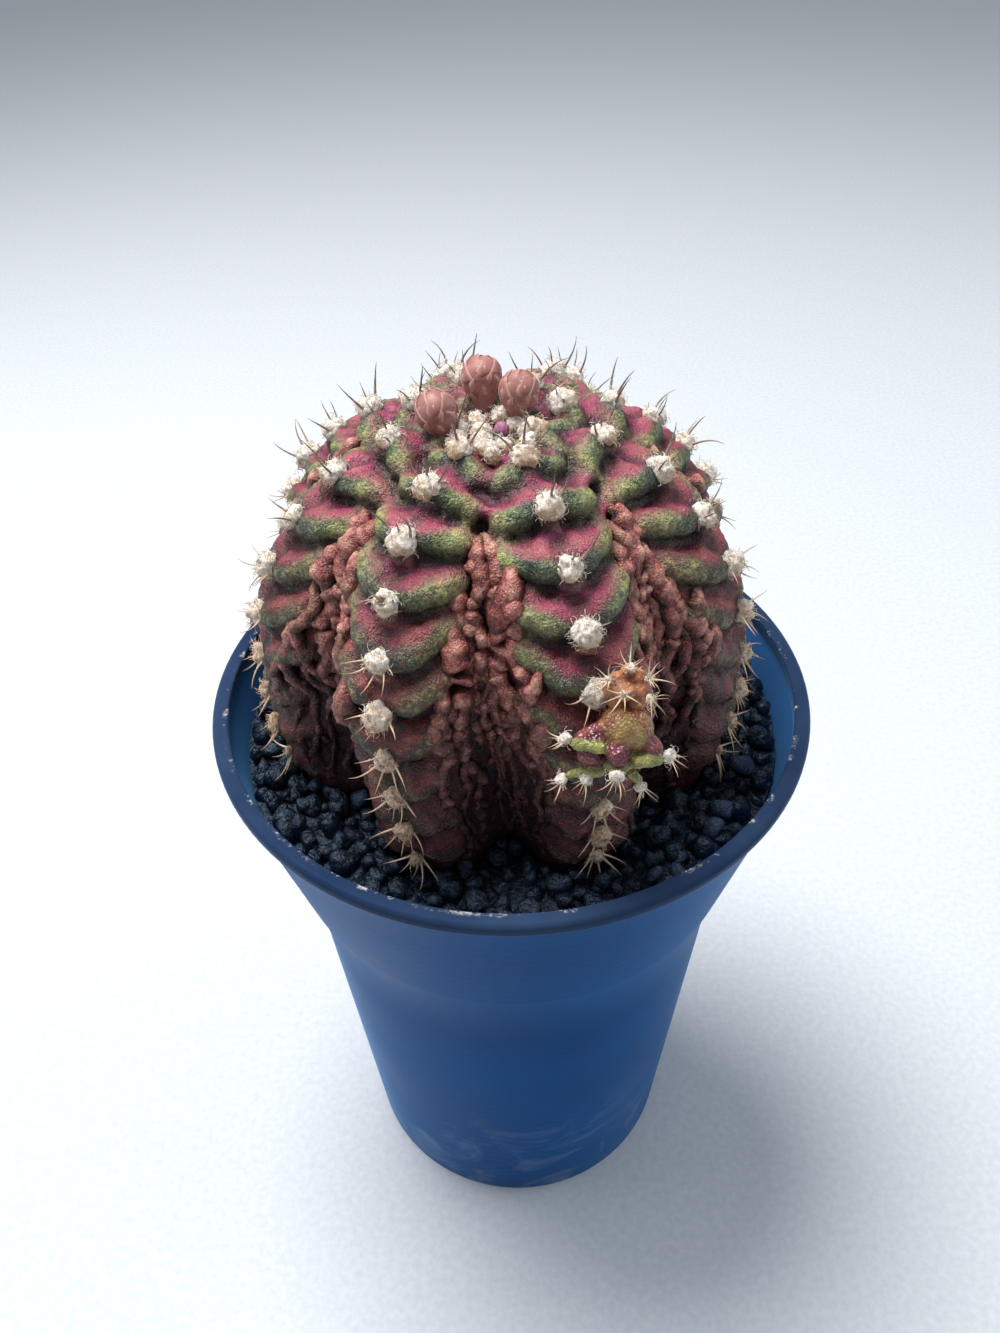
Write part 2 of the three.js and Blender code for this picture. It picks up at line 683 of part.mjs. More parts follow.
function makePup(pup, neighbours, socket) {
  const centre = new THREE.Vector3(...pup.centre);
  const pieces = [pupCore(pup, 0)];
  pup.tips.forEach((tip) => {
    const place = new THREE.Vector3(...tip);
    const outward = place.clone().sub(centre).normalize();
    const side = new THREE.Vector3(0, 0, 1).cross(outward).normalize();
    const foot = place.clone().addScaledVector(outward, -0.25);
    pieces.push(makeTubercle(pup.centre, tip, pup.tubercle));
    pieces.push(makePad(foot, outward, pup.wool, 0));
    pup.spread.forEach((spread) => {
      const direction = outward.clone().addScaledVector(side, spread).normalize();
      const end = foot.clone().addScaledVector(direction, pup.spine);
      if (isClear(foot, end, neighbours, CLEARANCE)) {
        pieces.push(makeSpine(foot, direction, pup.spine));
      }
    });
  });
  return geometryFrom(mainBody(joined(pieces).subtract(socket)));
}

// The potting mix fills the pot up to the grit.
function makeMix(socket) {
  const bottom = BASE_RECESS + BASE_THICKNESS + CLEARANCE;
  const heights = wallHeights(bottom, MIX_TOP, POT_KNEES);
  const side = heights.map((z) => [potRadius(z) - WALL - CLEARANCE, z]);
  const fill = solidFrom(turned([[0, bottom], ...side, [0, MIX_TOP]], POT_SEGMENTS));
  return geometryFrom(mainBody(fill.subtract(socket)));
}

// The plain hole that the plant's ribbed foot stands in, a hair wider than the foot.
function makeFootHole() {
  const columns = bodyColumns();
  const line = crestLine(SOIL_ANGLE);
  const rings = [
    buriedRing(columns, GRIT_TOP + 1, 1, CLEARANCE + HOLE_FLARE),
    buriedRing(columns, line.z, 1, CLEARANCE),
    buriedRing(columns, MIX_TOP - 1, 1, CLEARANCE),
  ];
  const top = new THREE.Vector3(PLANT_X, 0, GRIT_TOP + 1);
  const bottom = new THREE.Vector3(PLANT_X, 0, MIX_TOP - 1);
  return solidFrom(ringedGeometry(top, rings, bottom));
}

// A disc that fills the pot between two heights, up against its wall.
function potFilling(bottom, top) {
  const reach = (z) => potRadius(z) - WALL - CLEARANCE - 0.1;
  const outline = [[0, bottom], [reach(bottom), bottom], [reach(top), top], [0, top]];
  return solidFrom(turned(outline, POT_SEGMENTS));
}

function makeStone(index, random) {
  const place = (index + 0.5) / GRIT_STONES;
  const spread = THREE.MathUtils.lerp(STONE_RING_INNER ** 2, STONE_RING_OUTER ** 2, place);
  const radius = Math.sqrt(spread);
  const turn = index * GOLDEN_ANGLE;
  const stone = new THREE.IcosahedronGeometry(STONE_RADIUS * (0.75 + 0.5 * random()), 0);
  stone.scale(1, 0.7 + 0.3 * random(), 0.6 + 0.25 * random());
  stone.rotateZ(random() * Math.PI);
  stone.rotateX((random() - 0.5) * 0.8);
  stone.translate(radius * Math.cos(turn), radius * Math.sin(turn), GRIT_LEVEL + 0.8 * random());
  return solidFrom(stone);
}

// Grit: a bed with angular stones standing out of it.
function makeGrit() {
  const random = randomFrom(GRIT_SEED);
  const bottom = MIX_TOP + CLEARANCE;
  const pieces = [potFilling(bottom, GRIT_LEVEL)];
  for (let index = 0; index < GRIT_STONES; index += 1) {
    pieces.push(makeStone(index, random));
  }
  const inPot = joined(pieces).intersect(potFilling(bottom, GRIT_TOP));
  return geometryFrom(mainBody(inPot.subtract(makeFootHole())));
}

function material(color, roughness, metalness = 0) {
  return new THREE.MeshStandardMaterial({ color, roughness, metalness });
}

const FINISHES = {
  pot: material(0x1f5288, 0.45),
  mix: material(0x2c221b, 0.95),
  grit: material(0x16191f, 0.55),
  cactus: material(0x6d4a3c, 0.6),
  bud: material(0xb0705f, 0.55),
  greenPup: material(0x8a7a3f, 0.5),
  driedPup: material(0x8c5a34, 0.8),
};

function piece(name, geometry, finish) {
  const mesh = new THREE.Mesh(geometry, finish);
  mesh.name = name;
  return mesh;
}

const socket = cactusSocket();
const besideGreen = [ball(GREEN_PUP.centre, GREEN_PUP.radii[0])];
const driedSocket = socket.add(pupCore(GREEN_PUP, CLEARANCE));

const model = new THREE.Group();
model.add(piece('pot', makePot(), FINISHES.pot));
model.add(piece('potting_mix', makeMix(socket), FINISHES.mix));
model.add(piece('grit', makeGrit(), FINISHES.grit));
model.add(piece('cactus', makeCactus(), FINISHES.cactus));
BUDS.forEach((bud) => model.add(piece(bud.name, makeBud(bud, socket), FINISHES.bud)));
model.add(piece('green_pup', makePup(GREEN_PUP, [], socket), FINISHES.greenPup));
model.add(piece('dried_pup', makePup(DRIED_PUP, besideGreen, driedSocket), FINISHES.driedPup));

export default model;
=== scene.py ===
# %% [markdown]
# # A knobbly chin cactus in a blue nursery pot
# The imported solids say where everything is: a tapered pot, its fill of potting mix and black grit, a
# round ribbed cactus with three flower buds at its crown, and two pups on its front right rib. They
# are plain and faceted. This lesson keeps their places and forms, and gives each of them the finer
# shape, colour and surface that a camera sees.
# Lengths in this script are written in millimetres and turned to metres where a mesh is made. The
# sizes of node groups are in metres.

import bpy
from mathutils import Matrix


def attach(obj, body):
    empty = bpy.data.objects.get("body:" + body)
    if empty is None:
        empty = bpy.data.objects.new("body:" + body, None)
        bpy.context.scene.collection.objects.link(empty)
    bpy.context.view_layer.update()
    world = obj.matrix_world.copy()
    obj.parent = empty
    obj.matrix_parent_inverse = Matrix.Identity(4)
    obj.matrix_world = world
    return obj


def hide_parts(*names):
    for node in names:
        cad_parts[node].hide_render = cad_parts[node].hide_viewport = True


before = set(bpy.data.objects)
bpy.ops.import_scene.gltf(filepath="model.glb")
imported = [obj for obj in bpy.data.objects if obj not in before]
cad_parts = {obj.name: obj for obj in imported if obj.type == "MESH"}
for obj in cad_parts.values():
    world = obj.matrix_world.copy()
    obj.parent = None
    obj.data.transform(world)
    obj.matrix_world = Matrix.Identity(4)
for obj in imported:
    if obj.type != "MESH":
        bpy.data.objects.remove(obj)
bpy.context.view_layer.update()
print("solids in the frame:", ", ".join(sorted(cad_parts)))

# %% Tools of the trade
import math
import random
from types import SimpleNamespace

import bpy
import numpy as np
from mathutils import Matrix, Vector

MM = 0.001
scene = bpy.context.scene
scene.view_settings.view_transform = "Standard"

# %% [markdown]
# ## Helpers for node trees
# Both the shapes and the finishes here are node trees that the script builds. One helper adds a node
# and fills its inputs: what comes from another node is linked, and any other value is set on the
# socket itself. What comes out of a node can be added and multiplied like a number, and that adds the
# Math nodes. So a tree reads like a list of steps.

# %% Add a node and fill its inputs
bench = SimpleNamespace(tree=None)


class Flow:
    """What comes out of a node. Arithmetic on it adds Math nodes to the tree on the bench."""

    def __init__(self, socket):
        self.socket = socket

    def out(self, label):
        return Flow(self.socket.node.outputs[label])

    def __add__(self, other):
        return wire("ShaderNodeMath", self, other, operation="ADD")

    def __sub__(self, other):
        return wire("ShaderNodeMath", self, other, operation="SUBTRACT")

    def __rsub__(self, other):
        return wire("ShaderNodeMath", other, self, operation="SUBTRACT")

    def __mul__(self, other):
        return wire("ShaderNodeMath", self, other, operation="MULTIPLY")

    def __truediv__(self, other):
        return wire("ShaderNodeMath", self, other, operation="DIVIDE")

    def __rtruediv__(self, other):
        return wire("ShaderNodeMath", other, self, operation="DIVIDE")

    def __pow__(self, other):
        return wire("ShaderNodeMath", self, other, operation="POWER")

    def __gt__(self, other):
        return wire("ShaderNodeMath", self, other, operation="GREATER_THAN")


def wire(kind, *firsts, **others):
    """Adds a node and returns its first output. Bare values fill its inputs in turn. Names with a
    capital are inputs, and names in small letters are the node's settings."""
    node = bench.tree.nodes.new(kind)
    for name, value in others.items():
        if name[0].islower():
            setattr(node, name, value)
    inputs = list(zip(node.inputs, firsts))
    for name, value in others.items():
        if name[0].isupper():
            label = name.replace("_", " ")
            inputs.append((next(s for s in node.inputs if s.enabled and s.name == label), value))
    for socket, value in inputs:
        if isinstance(value, Flow):
            bench.tree.links.new(value.socket, socket)
        else:
            socket.default_value = value
    return next((Flow(s) for s in node.outputs if s.enabled), None)


def vector_maths(operation, *values):
    made = wire("ShaderNodeVectorMath", *values, operation=operation)
    return made.out("Value") if operation in ("DOT_PRODUCT", "LENGTH") else made


def random_value(low, high, seed, kind):
    return wire("FunctionNodeRandomValue", Min=low, Max=high, Seed=seed, data_type=kind)


# %% Steps that geometry trees share
def vector_mark(label):
    return wire("GeometryNodeInputNamedAttribute", Name=label, data_type="FLOAT_VECTOR")


def number_mark(label):
    return wire("GeometryNodeInputNamedAttribute", Name=label, data_type="FLOAT")


def store(geometry, label, value, domain="POINT"):
    return wire("GeometryNodeStoreNamedAttribute", Geometry=geometry, Name=label, Value=value,
                data_type="FLOAT", domain=domain)


def spot():
    return wire("GeometryNodeInputPosition")


def normal():
    return wire("GeometryNodeInputNormal")


def sweep(line, girth, sides):
    """A ring swept along a curve, as thick as girth says."""
    ring = wire("GeometryNodeCurvePrimitiveCircle", Resolution=sides, Radius=1.0)
    return wire("GeometryNodeCurveToMesh", Curve=line, Profile_Curve=ring, Scale=girth, Fill_Caps=True)


def push_out(geometry, amount, direction=None):
    """Moves every point along its normal, or along another direction."""
    push = wire("ShaderNodeVectorMath", direction or normal(), Scale=amount, operation="SCALE")
    return wire("GeometryNodeSetPosition", Geometry=geometry, Offset=push)


def shade_smooth(geometry):
    return wire("GeometryNodeSetShadeSmooth", Geometry=geometry, Shade_Smooth=True)


def gather(kind, parts):
    """Links all the parts to the one input of a node that takes many."""
    made = wire(kind, Geometry=parts[0])
    for part in parts[1:]:
        bench.tree.links.new(part.socket, made.socket.node.inputs["Geometry"])
    return made


def standing(side_axis):
    """The turn that stands a shape along its place's outward direction."""
    return wire("FunctionNodeAxesToRotation", Primary_Axis=vector_mark("outward"),
                Secondary_Axis=vector_mark("side"), primary_axis="Z", secondary_axis=side_axis)


def lumps(size):
    """Soft noise around nought, its lumps about size metres across."""
    return wire("ShaderNodeTexNoise", Vector=spot(), Scale=1.0 / size, Detail=2.0) - 0.5


def knobs(size):
    """Round knobs about size metres apart, above nought in their middles."""
    return 0.42 - wire("ShaderNodeTexVoronoi", Vector=spot(), Scale=1.0 / size, Smoothness=0.25,
                       feature="SMOOTH_F1")


# %% Start a geometry tree, end it, and grow a piece with it
def geometry_tree(name, **sizes):
    """A tree with a geometry input, the named inputs with their usual values, and a material."""
    tree = bench.tree = bpy.data.node_groups.new(name, "GeometryNodeTree")
    tree.interface.new_socket("Geometry", in_out="INPUT", socket_type="NodeSocketGeometry")
    kinds = {float: "Float", int: "Int", tuple: "Vector"}
    for label, value in {**sizes, "Material": "Material"}.items():
        kind = kinds.get(type(value), value)
        socket = tree.interface.new_socket(label.replace("_", " "), in_out="INPUT",
                                           socket_type="NodeSocket" + kind)
        if kind != value:
            socket.default_value = value
    tree.interface.new_socket("Geometry", in_out="OUTPUT", socket_type="NodeSocketGeometry")
    outputs = tree.nodes.new("NodeGroupInput").outputs
    return SimpleNamespace(**{s.name.replace(" ", "_"): Flow(s) for s in outputs if s.name})


def end_tree(geometry, entry):
    """Every tree ends in the same way: real faces in place of instances, then the finish."""
    real = wire("GeometryNodeRealizeInstances", Geometry=geometry)
    done = wire("GeometryNodeSetMaterial", Geometry=real, Material=entry.Material)
    wire("NodeGroupOutput", Geometry=done)
    return bench.tree


def put(name, data):
    """A thing in the scene, made of some data."""
    thing = bpy.data.objects.new(name, data)
    scene.collection.objects.link(thing)
    return thing


def baked(thing):
    """What a thing's modifier makes of it, as a plain mesh. The thing itself goes."""
    graph = bpy.context.evaluated_depsgraph_get()
    mesh = bpy.data.meshes.new_from_object(thing.evaluated_get(graph), depsgraph=graph)
    bpy.data.objects.remove(thing)
    return mesh


def grow(name, tree, mesh, **sizes):
    """Runs a tree on a mesh, and keeps what it makes as a plain mesh piece."""
    carrier = put(name + "_carrier", mesh)
    modifier = carrier.modifiers.new("grow", "NODES")
    modifier.node_group = tree
    for socket in tree.interface.items_tree:
        label = socket.name.replace(" ", "_")
        if socket.in_out == "INPUT" and label in sizes:
            modifier[socket.identifier] = sizes[label]
    made = baked(carrier)
    made.name = name
    made.calc_loop_triangles()
    print(name, "has", len(made.loop_triangles), "triangles")
    return put(name, made)


# %% Make a mesh from points in millimetres, with named marks on its points
def marked_mesh(name, points, edges=(), faces=(), marks=None):
    mesh = bpy.data.meshes.new(name)
    mesh.from_pydata((np.asarray(points, float) * MM).tolist(), edges, faces)
    for label, values in (marks or {}).items():
        values = np.asarray(values, np.float32)
        kind, field = ("FLOAT_VECTOR", "vector") if values.ndim == 2 else ("FLOAT", "value")
        mesh.attributes.new(label, kind, "POINT").data.foreach_set(field, values.ravel())
    return mesh


def circle(count):
    """The cosine and sine of equal turns, all the way round."""
    turns = [2 * math.pi * i / count for i in range(count)]
    return [(math.cos(a), math.sin(a)) for a in turns]


def band(low, high, count):
    """The faces between two rings of points."""
    return [(low + i, low + (i + 1) % count, high + (i + 1) % count, high + i) for i in range(count)]


def closed_faces(rings, count):
    """The faces of rings of points from pole to pole. The poles are the first and the last point."""
    faces = [(0, 1 + i, 1 + (i + 1) % count) for i in range(count)]
    for r in range(rings - 1):
        a, b = 1 + r * count, 1 + (r + 1) * count
        faces += [(a + i, b + i, b + (i + 1) % count, a + (i + 1) % count) for i in range(count)]
    last, low = 1 + rings * count, 1 + (rings - 1) * count
    return faces + [(last, low + (i + 1) % count, low + i) for i in range(count)]


# %% [markdown]
# ## Helpers for finishes
# Each finish is made of the same few parts: a place on the object, noise at one or two sizes, and
# colours mixed by them. A colour is given as it looks on a screen, and turned into the linear values
# that the shader works with.

# %% Colours, places and patterns
def tint(red, green, blue):
    """A colour as seen on a screen, 0 to 255, as linear red, green, blue and alpha."""
    channels = [value / 255 for value in (red, green, blue)]
    linear = [c / 12.92 if c <= 0.04045 else ((c + 0.055) / 1.055) ** 2.4 for c in channels]
    return (*linear, 1.0)


def paint(colour):
    """Three numbers are a colour on a screen. Four are linear, and a flow stays a flow."""
    return tint(*colour) if isinstance(colour, tuple) and len(colour) == 3 else colour


def mix(share, first, second, blend="MIX"):
    return wire("ShaderNodeMix", Factor=share, A=paint(first), B=paint(second), data_type="RGBA",
                blend_type=blend)


def coats(colour, *layers):
    """Lays colours over a colour, each as thick as its share says."""
    for share, shade in layers:
        colour = mix(share, colour, shade)
    return colour


def noise(place, size, detail, roughness=0.55):
    """Noise whose lumps are about size millimetres across."""
    return wire("ShaderNodeTexNoise", Vector=place, Scale=1 / (size * MM), Detail=detail, Roughness=roughness)


def cells(place, size):
    return wire("ShaderNodeTexVoronoi", Vector=place, Scale=1 / (size * MM))


def stretch(value, low, high, to_low=0.0, to_high=1.0):
    """Spreads low..high over to_low..to_high, and holds it there outside."""
    return wire("ShaderNodeMapRange", Value=value, From_Min=low, From_Max=high, To_Min=to_low, To_Max=to_high)


def marks_of(labels):
    """The piece's own marks, by their names."""
    return [wire("ShaderNodeAttribute", attribute_name=label).out("Fac") for label in labels.split()]


def ramp(value, *stops):
    """A stop is where it is and the colour there."""
    colour = wire("ShaderNodeValToRGB", value)
    points = colour.socket.node.color_ramp.elements
    for number, (where, *shade) in enumerate(stops):
        point = points[number] if number < 2 else points.new(where)
        point.position = where
        point.color = paint(tuple(shade))
    return colour


def bump(height, distance, strength, **under):
    """A bump, its height given in millimetres, on top of another one if that is given as Normal."""
    return wire("ShaderNodeBump", Height=height, Distance=distance * MM, Strength=strength, **under)


def finish_tree(name):
    """A new material, and the object's own coordinates in its tree."""
    made = bpy.data.materials.new(name)
    made.use_nodes = True
    bench.tree = made.node_tree
    return made, Flow(bench.tree.nodes.new("ShaderNodeTexCoord").outputs["Object"])


def dress(made, colour, roughness, **others):
    """Links flows to the material's shader. Constants are set on the shader's own sockets."""
    shader = made.node_tree.nodes["Principled BSDF"]
    for label, value in {"Base_Color": colour, "Roughness": roughness, **others}.items():
        socket = shader.inputs[label.replace("_", " ")]
        if isinstance(value, Flow):
            made.node_tree.links.new(value.socket, socket)
        else:
            socket.default_value = value
    return made


# %% [markdown]
# ## Camera, floor and light
# The camera looks down on the plant from the front at about forty degrees, a little turned about its
# own axis, through a lens a bit wider than normal. One wide soft lamp overhead, two weak ones at the
# sides and a pale world give the even daylight of an open window, and leave the plant's foot dark.

# %% The camera
CAMERA_PLACE = (-0.78, -107.64, 193.83)
LOOKS_DOWN = 41.7
LOOKS_LEFT = 0.25
LEANS = 1.64
FOCAL_SHARE = 1100 / 1333
SENSOR = 36.0
NEAREST_SEEN = 5.0


def camera_axes():
    down, left = math.radians(LOOKS_DOWN), math.radians(LOOKS_LEFT)
    ahead = Vector((-math.sin(left) * math.cos(down), math.cos(left) * math.cos(down), -math.sin(down)))
    right = Vector((math.cos(left), math.sin(left), 0))
    below = ahead.cross(right)
    lean = math.radians(LEANS)
    return (math.cos(lean) * right + math.sin(lean) * below,
            math.sin(lean) * right - math.cos(lean) * below,
            -ahead)


lens = bpy.data.cameras.new("camera")
lens.sensor_width = SENSOR
lens.lens = SENSOR * FOCAL_SHARE
lens.clip_start = NEAREST_SEEN * MM
camera = put("camera", lens)
turn = Matrix(camera_axes()).transposed().to_4x4()
camera.matrix_world = Matrix.Translation(Vector(CAMERA_PLACE) * MM) @ turn
scene.camera = camera
print("camera lens", round(lens.lens, 2), "mm")

# %% The floor
FLOOR_HALF = 4000.0
corners = [(x * FLOOR_HALF, y * FLOOR_HALF, 0) for x, y in ((-1, -1), (1, -1), (1, 1), (-1, 1))]
floor_mesh = marked_mesh("floor", corners, faces=[(0, 1, 2, 3)])
floor = put("floor", floor_mesh)
paper, place = finish_tree("pale_paper")
grain = noise(place, 1.2, 4)
dress(paper, mix(stretch(grain, 0.3, 0.7), (206, 212, 218), (220, 224, 228)), 0.8)
floor_mesh.materials.append(paper)

# %% The light
DAYLIGHT, SKYLIGHT = (1.0, 0.985, 0.96), (0.88, 0.94, 1.0)


def lamp(name, place, aim, width, watts, colour):
    light = bpy.data.lights.new(name, "AREA")
    light.shape = "DISK"
    light.size = width * MM
    light.energy = watts
    light.color = colour
    holder = put(name, light)
    holder.location = Vector(place) * MM
    away = Vector(aim) - Vector(place)
    holder.rotation_euler = away.to_track_quat("-Z", "Y").to_euler()


lamp("window_above", (-140, 120, 640), (0, 0, 110), 330, 5.0, DAYLIGHT)
lamp("fill_right", (560, 60, 300), (0, 0, 70), 380, 0.9, SKYLIGHT)
lamp("fill_left", (-560, 40, 300), (0, 0, 70), 380, 0.7, SKYLIGHT)
world = bpy.data.worlds.new("soft_room")
scene.world = world
world.use_nodes = True
world.node_tree.nodes["Background"].inputs["Color"].default_value = (0.86, 0.92, 1.0, 1.0)
world.node_tree.nodes["Background"].inputs["Strength"].default_value = 0.36

# %% [markdown]
# ## The rule of the body
# A chin cactus is a ball of ribs. Each rib carries a row of areoles, and they crowd together towards
# the soil. One rule places them all: a point on the body is a rib, a step down that rib, and a share of
# the way across its flank, from the crest to the middle of the furrow. Everything that grows on the
# plant asks this rule where it belongs, so pads, spines and rolls meet without any fitting.

# %% Sizes of the body
PLANT_X = -0.8
CENTRE_HEIGHT = 107.0
BODY_RADIUS = 29.3
CROWN_HEIGHT, CROWN_EXPONENT = 28.0, 2.15
BELLY_DEPTH, BELLY_EXPONENT = 26.0, 4.0
DIMPLE_DEPTH, DIMPLE_WIDTH = 3.2, 6.5
FURROW_DEPTH = 6.2
SOIL_ANGLE = 121.0
AREOLES_TO_SOIL = 9.5
AREOLES = 10
# Each rib: its azimuth at the crown, its swing at each areole, its first areole's angle, its crowding.
RIBS = [(-160, -0.5, 22, 0.10), (-115, 0.3, 20, 0.19), (-76.5, 0.6, 10, 0.24), (-33, 1.3, 15.3, 0.15),
        (18.5, 0.25, 17.5, 0.30), (73, -0.6, 9, 0.27), (112, 0, 16, 0.17), (153, -0.3, 18, 0.10)]
SECTION_SHARES = (0, 0.22, 0.48, 0.7, 0.85, 1)
SECTION_DEPTHS = (0, 0.05, 0.3, 0.7, 0.95, 1)
SECTION_DROOPS = (-0.2, -0.06, 0, 0, 0, 0)
SECTION_LEANS = (0, 0.08, 0.48, 0.8, 0.95, 1)
YOUNG_LEAN, OLD_LEAN = 0.6, -1.35


# %% Where a point of the body is
def smooth(low, high, value):
    t = np.clip((np.asarray(value, float) - low) / (high - low), 0, 1)
    return t * t * (3 - 2 * t)


def eased_number(low, high, value):
    return float(smooth(low, high, value))


def on_body(azimuth, angle, lift=0.0):
    """A point at an azimuth from the front and a polar angle from straight up, in degrees."""
    turn = np.radians(angle)
    across, up = np.sin(turn), np.cos(turn)
    power = np.where(up >= 0, CROWN_EXPONENT, BELLY_EXPONENT)
    half = np.where(up >= 0, CROWN_HEIGHT, BELLY_DEPTH)
    reach = (np.abs(across / BODY_RADIUS) ** power + np.abs(up / half) ** power) ** (-1 / power)
    dimple = DIMPLE_DEPTH * np.exp(-((reach * across / DIMPLE_WIDTH) ** 2))
    outward = np.radians(np.minimum(angle, 90))
    radius = reach * across + lift * np.sin(outward)
    height = CENTRE_HEIGHT + reach * up - dimple + lift * np.cos(outward)
    round_about = np.radians(azimuth)
    point = (PLANT_X + radius * np.sin(round_about), -radius * np.cos(round_about), height)
    return np.stack(np.broadcast_arrays(*point), axis=-1)


def areole_angle(rib, step):
    share = np.asarray(step, float) / AREOLES_TO_SOIL
    return rib[2] + (SOIL_ANGLE - rib[2]) * share * (1 + rib[3] * (1 - share))


def rib_azimuth(rib, step):
    return rib[0] + rib[1] * np.clip(step, 0, AREOLES_TO_SOIL)


def neighbour(index, side):
    """The rib across the furrow on the left (-1) or right (1), its azimuth counted on from this rib."""
    rib = list(RIBS[(index + side) % len(RIBS)])
    while (rib[0] - RIBS[index][0]) * side < 0:
        rib[0] += 360 * side
    return rib


def line_droop(share, row):
    """How far a line of the section lies below its areole, in areole steps. Rolls droop beside the
    crown, climb into the furrow from the belly down, and lie level at the soil."""
    crest = np.interp(share, SECTION_SHARES, SECTION_DROOPS)
    crest = crest * (1 - smooth(AREOLES_TO_SOIL - 1.5, AREOLES_TO_SOIL, row))
    lean = YOUNG_LEAN + (OLD_LEAN - YOUNG_LEAN) * smooth(-1.2, 5, row)
    leaning = np.interp(share, SECTION_SHARES, SECTION_LEANS) * lean
    return crest + leaning * (1 - smooth(5.5, AREOLES_TO_SOIL, row))


def furrow_depth(angle, share):
    return FURROW_DEPTH * smooth(5, 75, angle) * np.interp(share, SECTION_SHARES, SECTION_DEPTHS)


def on_flank(index, side, share, row, lift=0.0):
    """A point on a rib's flank. Row counts areole steps along the leaning lines of the rolls."""
    rib, beyond = RIBS[index], neighbour(index, side)
    step = row + line_droop(share, row)
    own, other = rib_azimuth(rib, step), rib_azimuth(beyond, step)
    azimuth = own + (other - own) / 2 * share
    blend = smooth(0.55, 1, share) / 2
    angle = areole_angle(rib, step) * (1 - blend) + areole_angle(beyond, step) * blend
    angle = np.maximum(angle, 0.5)
    return on_body(azimuth, angle, lift - furrow_depth(angle, share)), angle


def in_furrow(index, across, angle, lift):
    """A point between a rib and the next one. Across runs from -1 on this crest to 1 on the next."""
    rib, beyond = RIBS[index], neighbour(index, 1)
    steps = np.linspace(0, AREOLES_TO_SOIL, 60)
    own = np.interp(angle, areole_angle(rib, steps), rib_azimuth(rib, steps))
    other = np.interp(angle, areole_angle(beyond, steps), rib_azimuth(beyond, steps))
    azimuth = (own + other) / 2 + (other - own) / 2 * across
    return on_body(azimuth, angle, lift - furrow_depth(angle, 1 - abs(across)))


print("ribs:", len(RIBS), "with", AREOLES, "areoles each")

# %% [markdown]
# ## The flesh
# Every areole sends a fat green roll down each flank of its rib, and under each roll the flesh sinks
# into a crease, darkened with painted shade, and then rises, pink, to the next one. The furrows are
# packed with knobbly strands.
# Carving all this out of one mesh would be slow work, so the flesh is built as it grows: a ribbed core
# with a saw-toothed skin, and more than two hundred lines that swell into rolls and chins.
# A volume fuses them into one skin, as a potter's wet clay runs together, and every point of that
# skin then asks the nearest line what it is, so that the finish knows where green, pink and brown go.
# The strands are too fine and crisp for that, so they are swept tubes, laid over the furrow's floor.

# %% A bundle of lines that will swell
class Bundle:
    """Lines of points, each with its half thickness and marks for the finish."""

    def __init__(self):
        self.points, self.edges, self.marks = [], [], {"girth": []}

    def add(self, points, girth, **marks):
        start = len(self.points)
        count = len(points)
        self.points.extend(points)
        self.edges.extend((start + i, start + i + 1) for i in range(count - 1))
        for label in {**self.marks, **marks}:
            known = self.marks.setdefault(label, [0.0] * start)
            value = girth if label == "girth" else marks.get(label, 0.0)
            known.extend(np.broadcast_to(value, count).tolist())

    def mesh(self, name):
        print(name, "has", len(self.points), "points")
        girth = np.array(self.marks["girth"]) * MM
        return marked_mesh(name, self.points, self.edges, marks={**self.marks, "girth": girth})


def rounded(t, start, end):
    """A half thickness along a line, 0 to 1, that rounds off to nothing at both ends."""
    head = np.sqrt(1 - np.clip(1 - t / start, 0, 1) ** 2)
    tail = np.sqrt(1 - np.clip(1 - (1 - t) / end, 0, 1) ** 2)
    return np.maximum(head * tail, 0.02)


# %% The tree that fuses a core and its lines into one skin
MARKS = ("roll", "wart", "chin", "along", "age", "phase")


def blurred(value, times, kind="FLOAT_VECTOR"):
    return wire("GeometryNodeBlurAttribute", Value=value, Iterations=times, data_type=kind)


def fusing_tree():
    entry = geometry_tree("fuse_flesh", Lines="Object", Voxel=0.0004, Sides=10, Melt=1, Lump_Size=0.0016,
                          Lump_Height=0.0008, Knob_Size=0.00125, Knob_Height=0.00015, Mark_Blur=6,
                          Hollow_Reach=14, Heart=(0.0, 0.0, 0.105))
    lines = wire("GeometryNodeObjectInfo", Object=entry.Lines).out("Geometry")
    curves = wire("GeometryNodeMeshToCurve", Mesh=lines)
    swollen = sweep(curves, number_mark("girth"), entry.Sides)
    parts = gather("GeometryNodeJoinGeometry", (swollen, entry.Geometry))
    volume = wire("GeometryNodeMeshToVolume", Mesh=parts, Voxel_Size=entry.Voxel, Density=1.0,
                  Interior_Band_Width=0.002, resolution_mode="VOXEL_SIZE")
    skin = wire("GeometryNodeVolumeToMesh", Volume=volume, Threshold=0.04)
    skin = wire("GeometryNodeSetPosition", Geometry=skin, Position=blurred(spot(), entry.Melt))
    for label in MARKS:
        near = wire("GeometryNodeSampleNearestSurface", Mesh=parts, Value=number_mark(label),
                    Sample_Position=spot(), data_type="FLOAT")
        skin = store(skin, label, blurred(near, entry.Mark_Blur, "FLOAT"))
    # The skin's height against its blurred surroundings. The finishes paint shade into the creases and a
    # highlight onto the ridges by it.
    rise = vector_maths("SUBTRACT", spot(), blurred(spot(), entry.Hollow_Reach))
    skin = store(skin, "ridge", vector_maths("DOT_PRODUCT", rise, normal()) * (1 / MM))
    outward = vector_maths("NORMALIZE", vector_maths("SUBTRACT", spot(), entry.Heart))
    sideways = vector_maths("CROSS_PRODUCT", (0, 0, 1), outward)
    crownward = vector_maths("NORMALIZE", vector_maths("CROSS_PRODUCT", outward, sideways))
    # How far the skin faces the crown. The finish makes the rolls' top sides rosy and paints shade on their
    # undersides by it.
    skin = store(skin, "facing", vector_maths("DOT_PRODUCT", normal(), crownward))
    swell = lumps(entry.Lump_Size) * entry.Lump_Height + knobs(entry.Knob_Size) * entry.Knob_Height
    return end_tree(shade_smooth(push_out(skin, swell)), entry)


fuse_flesh = fusing_tree()


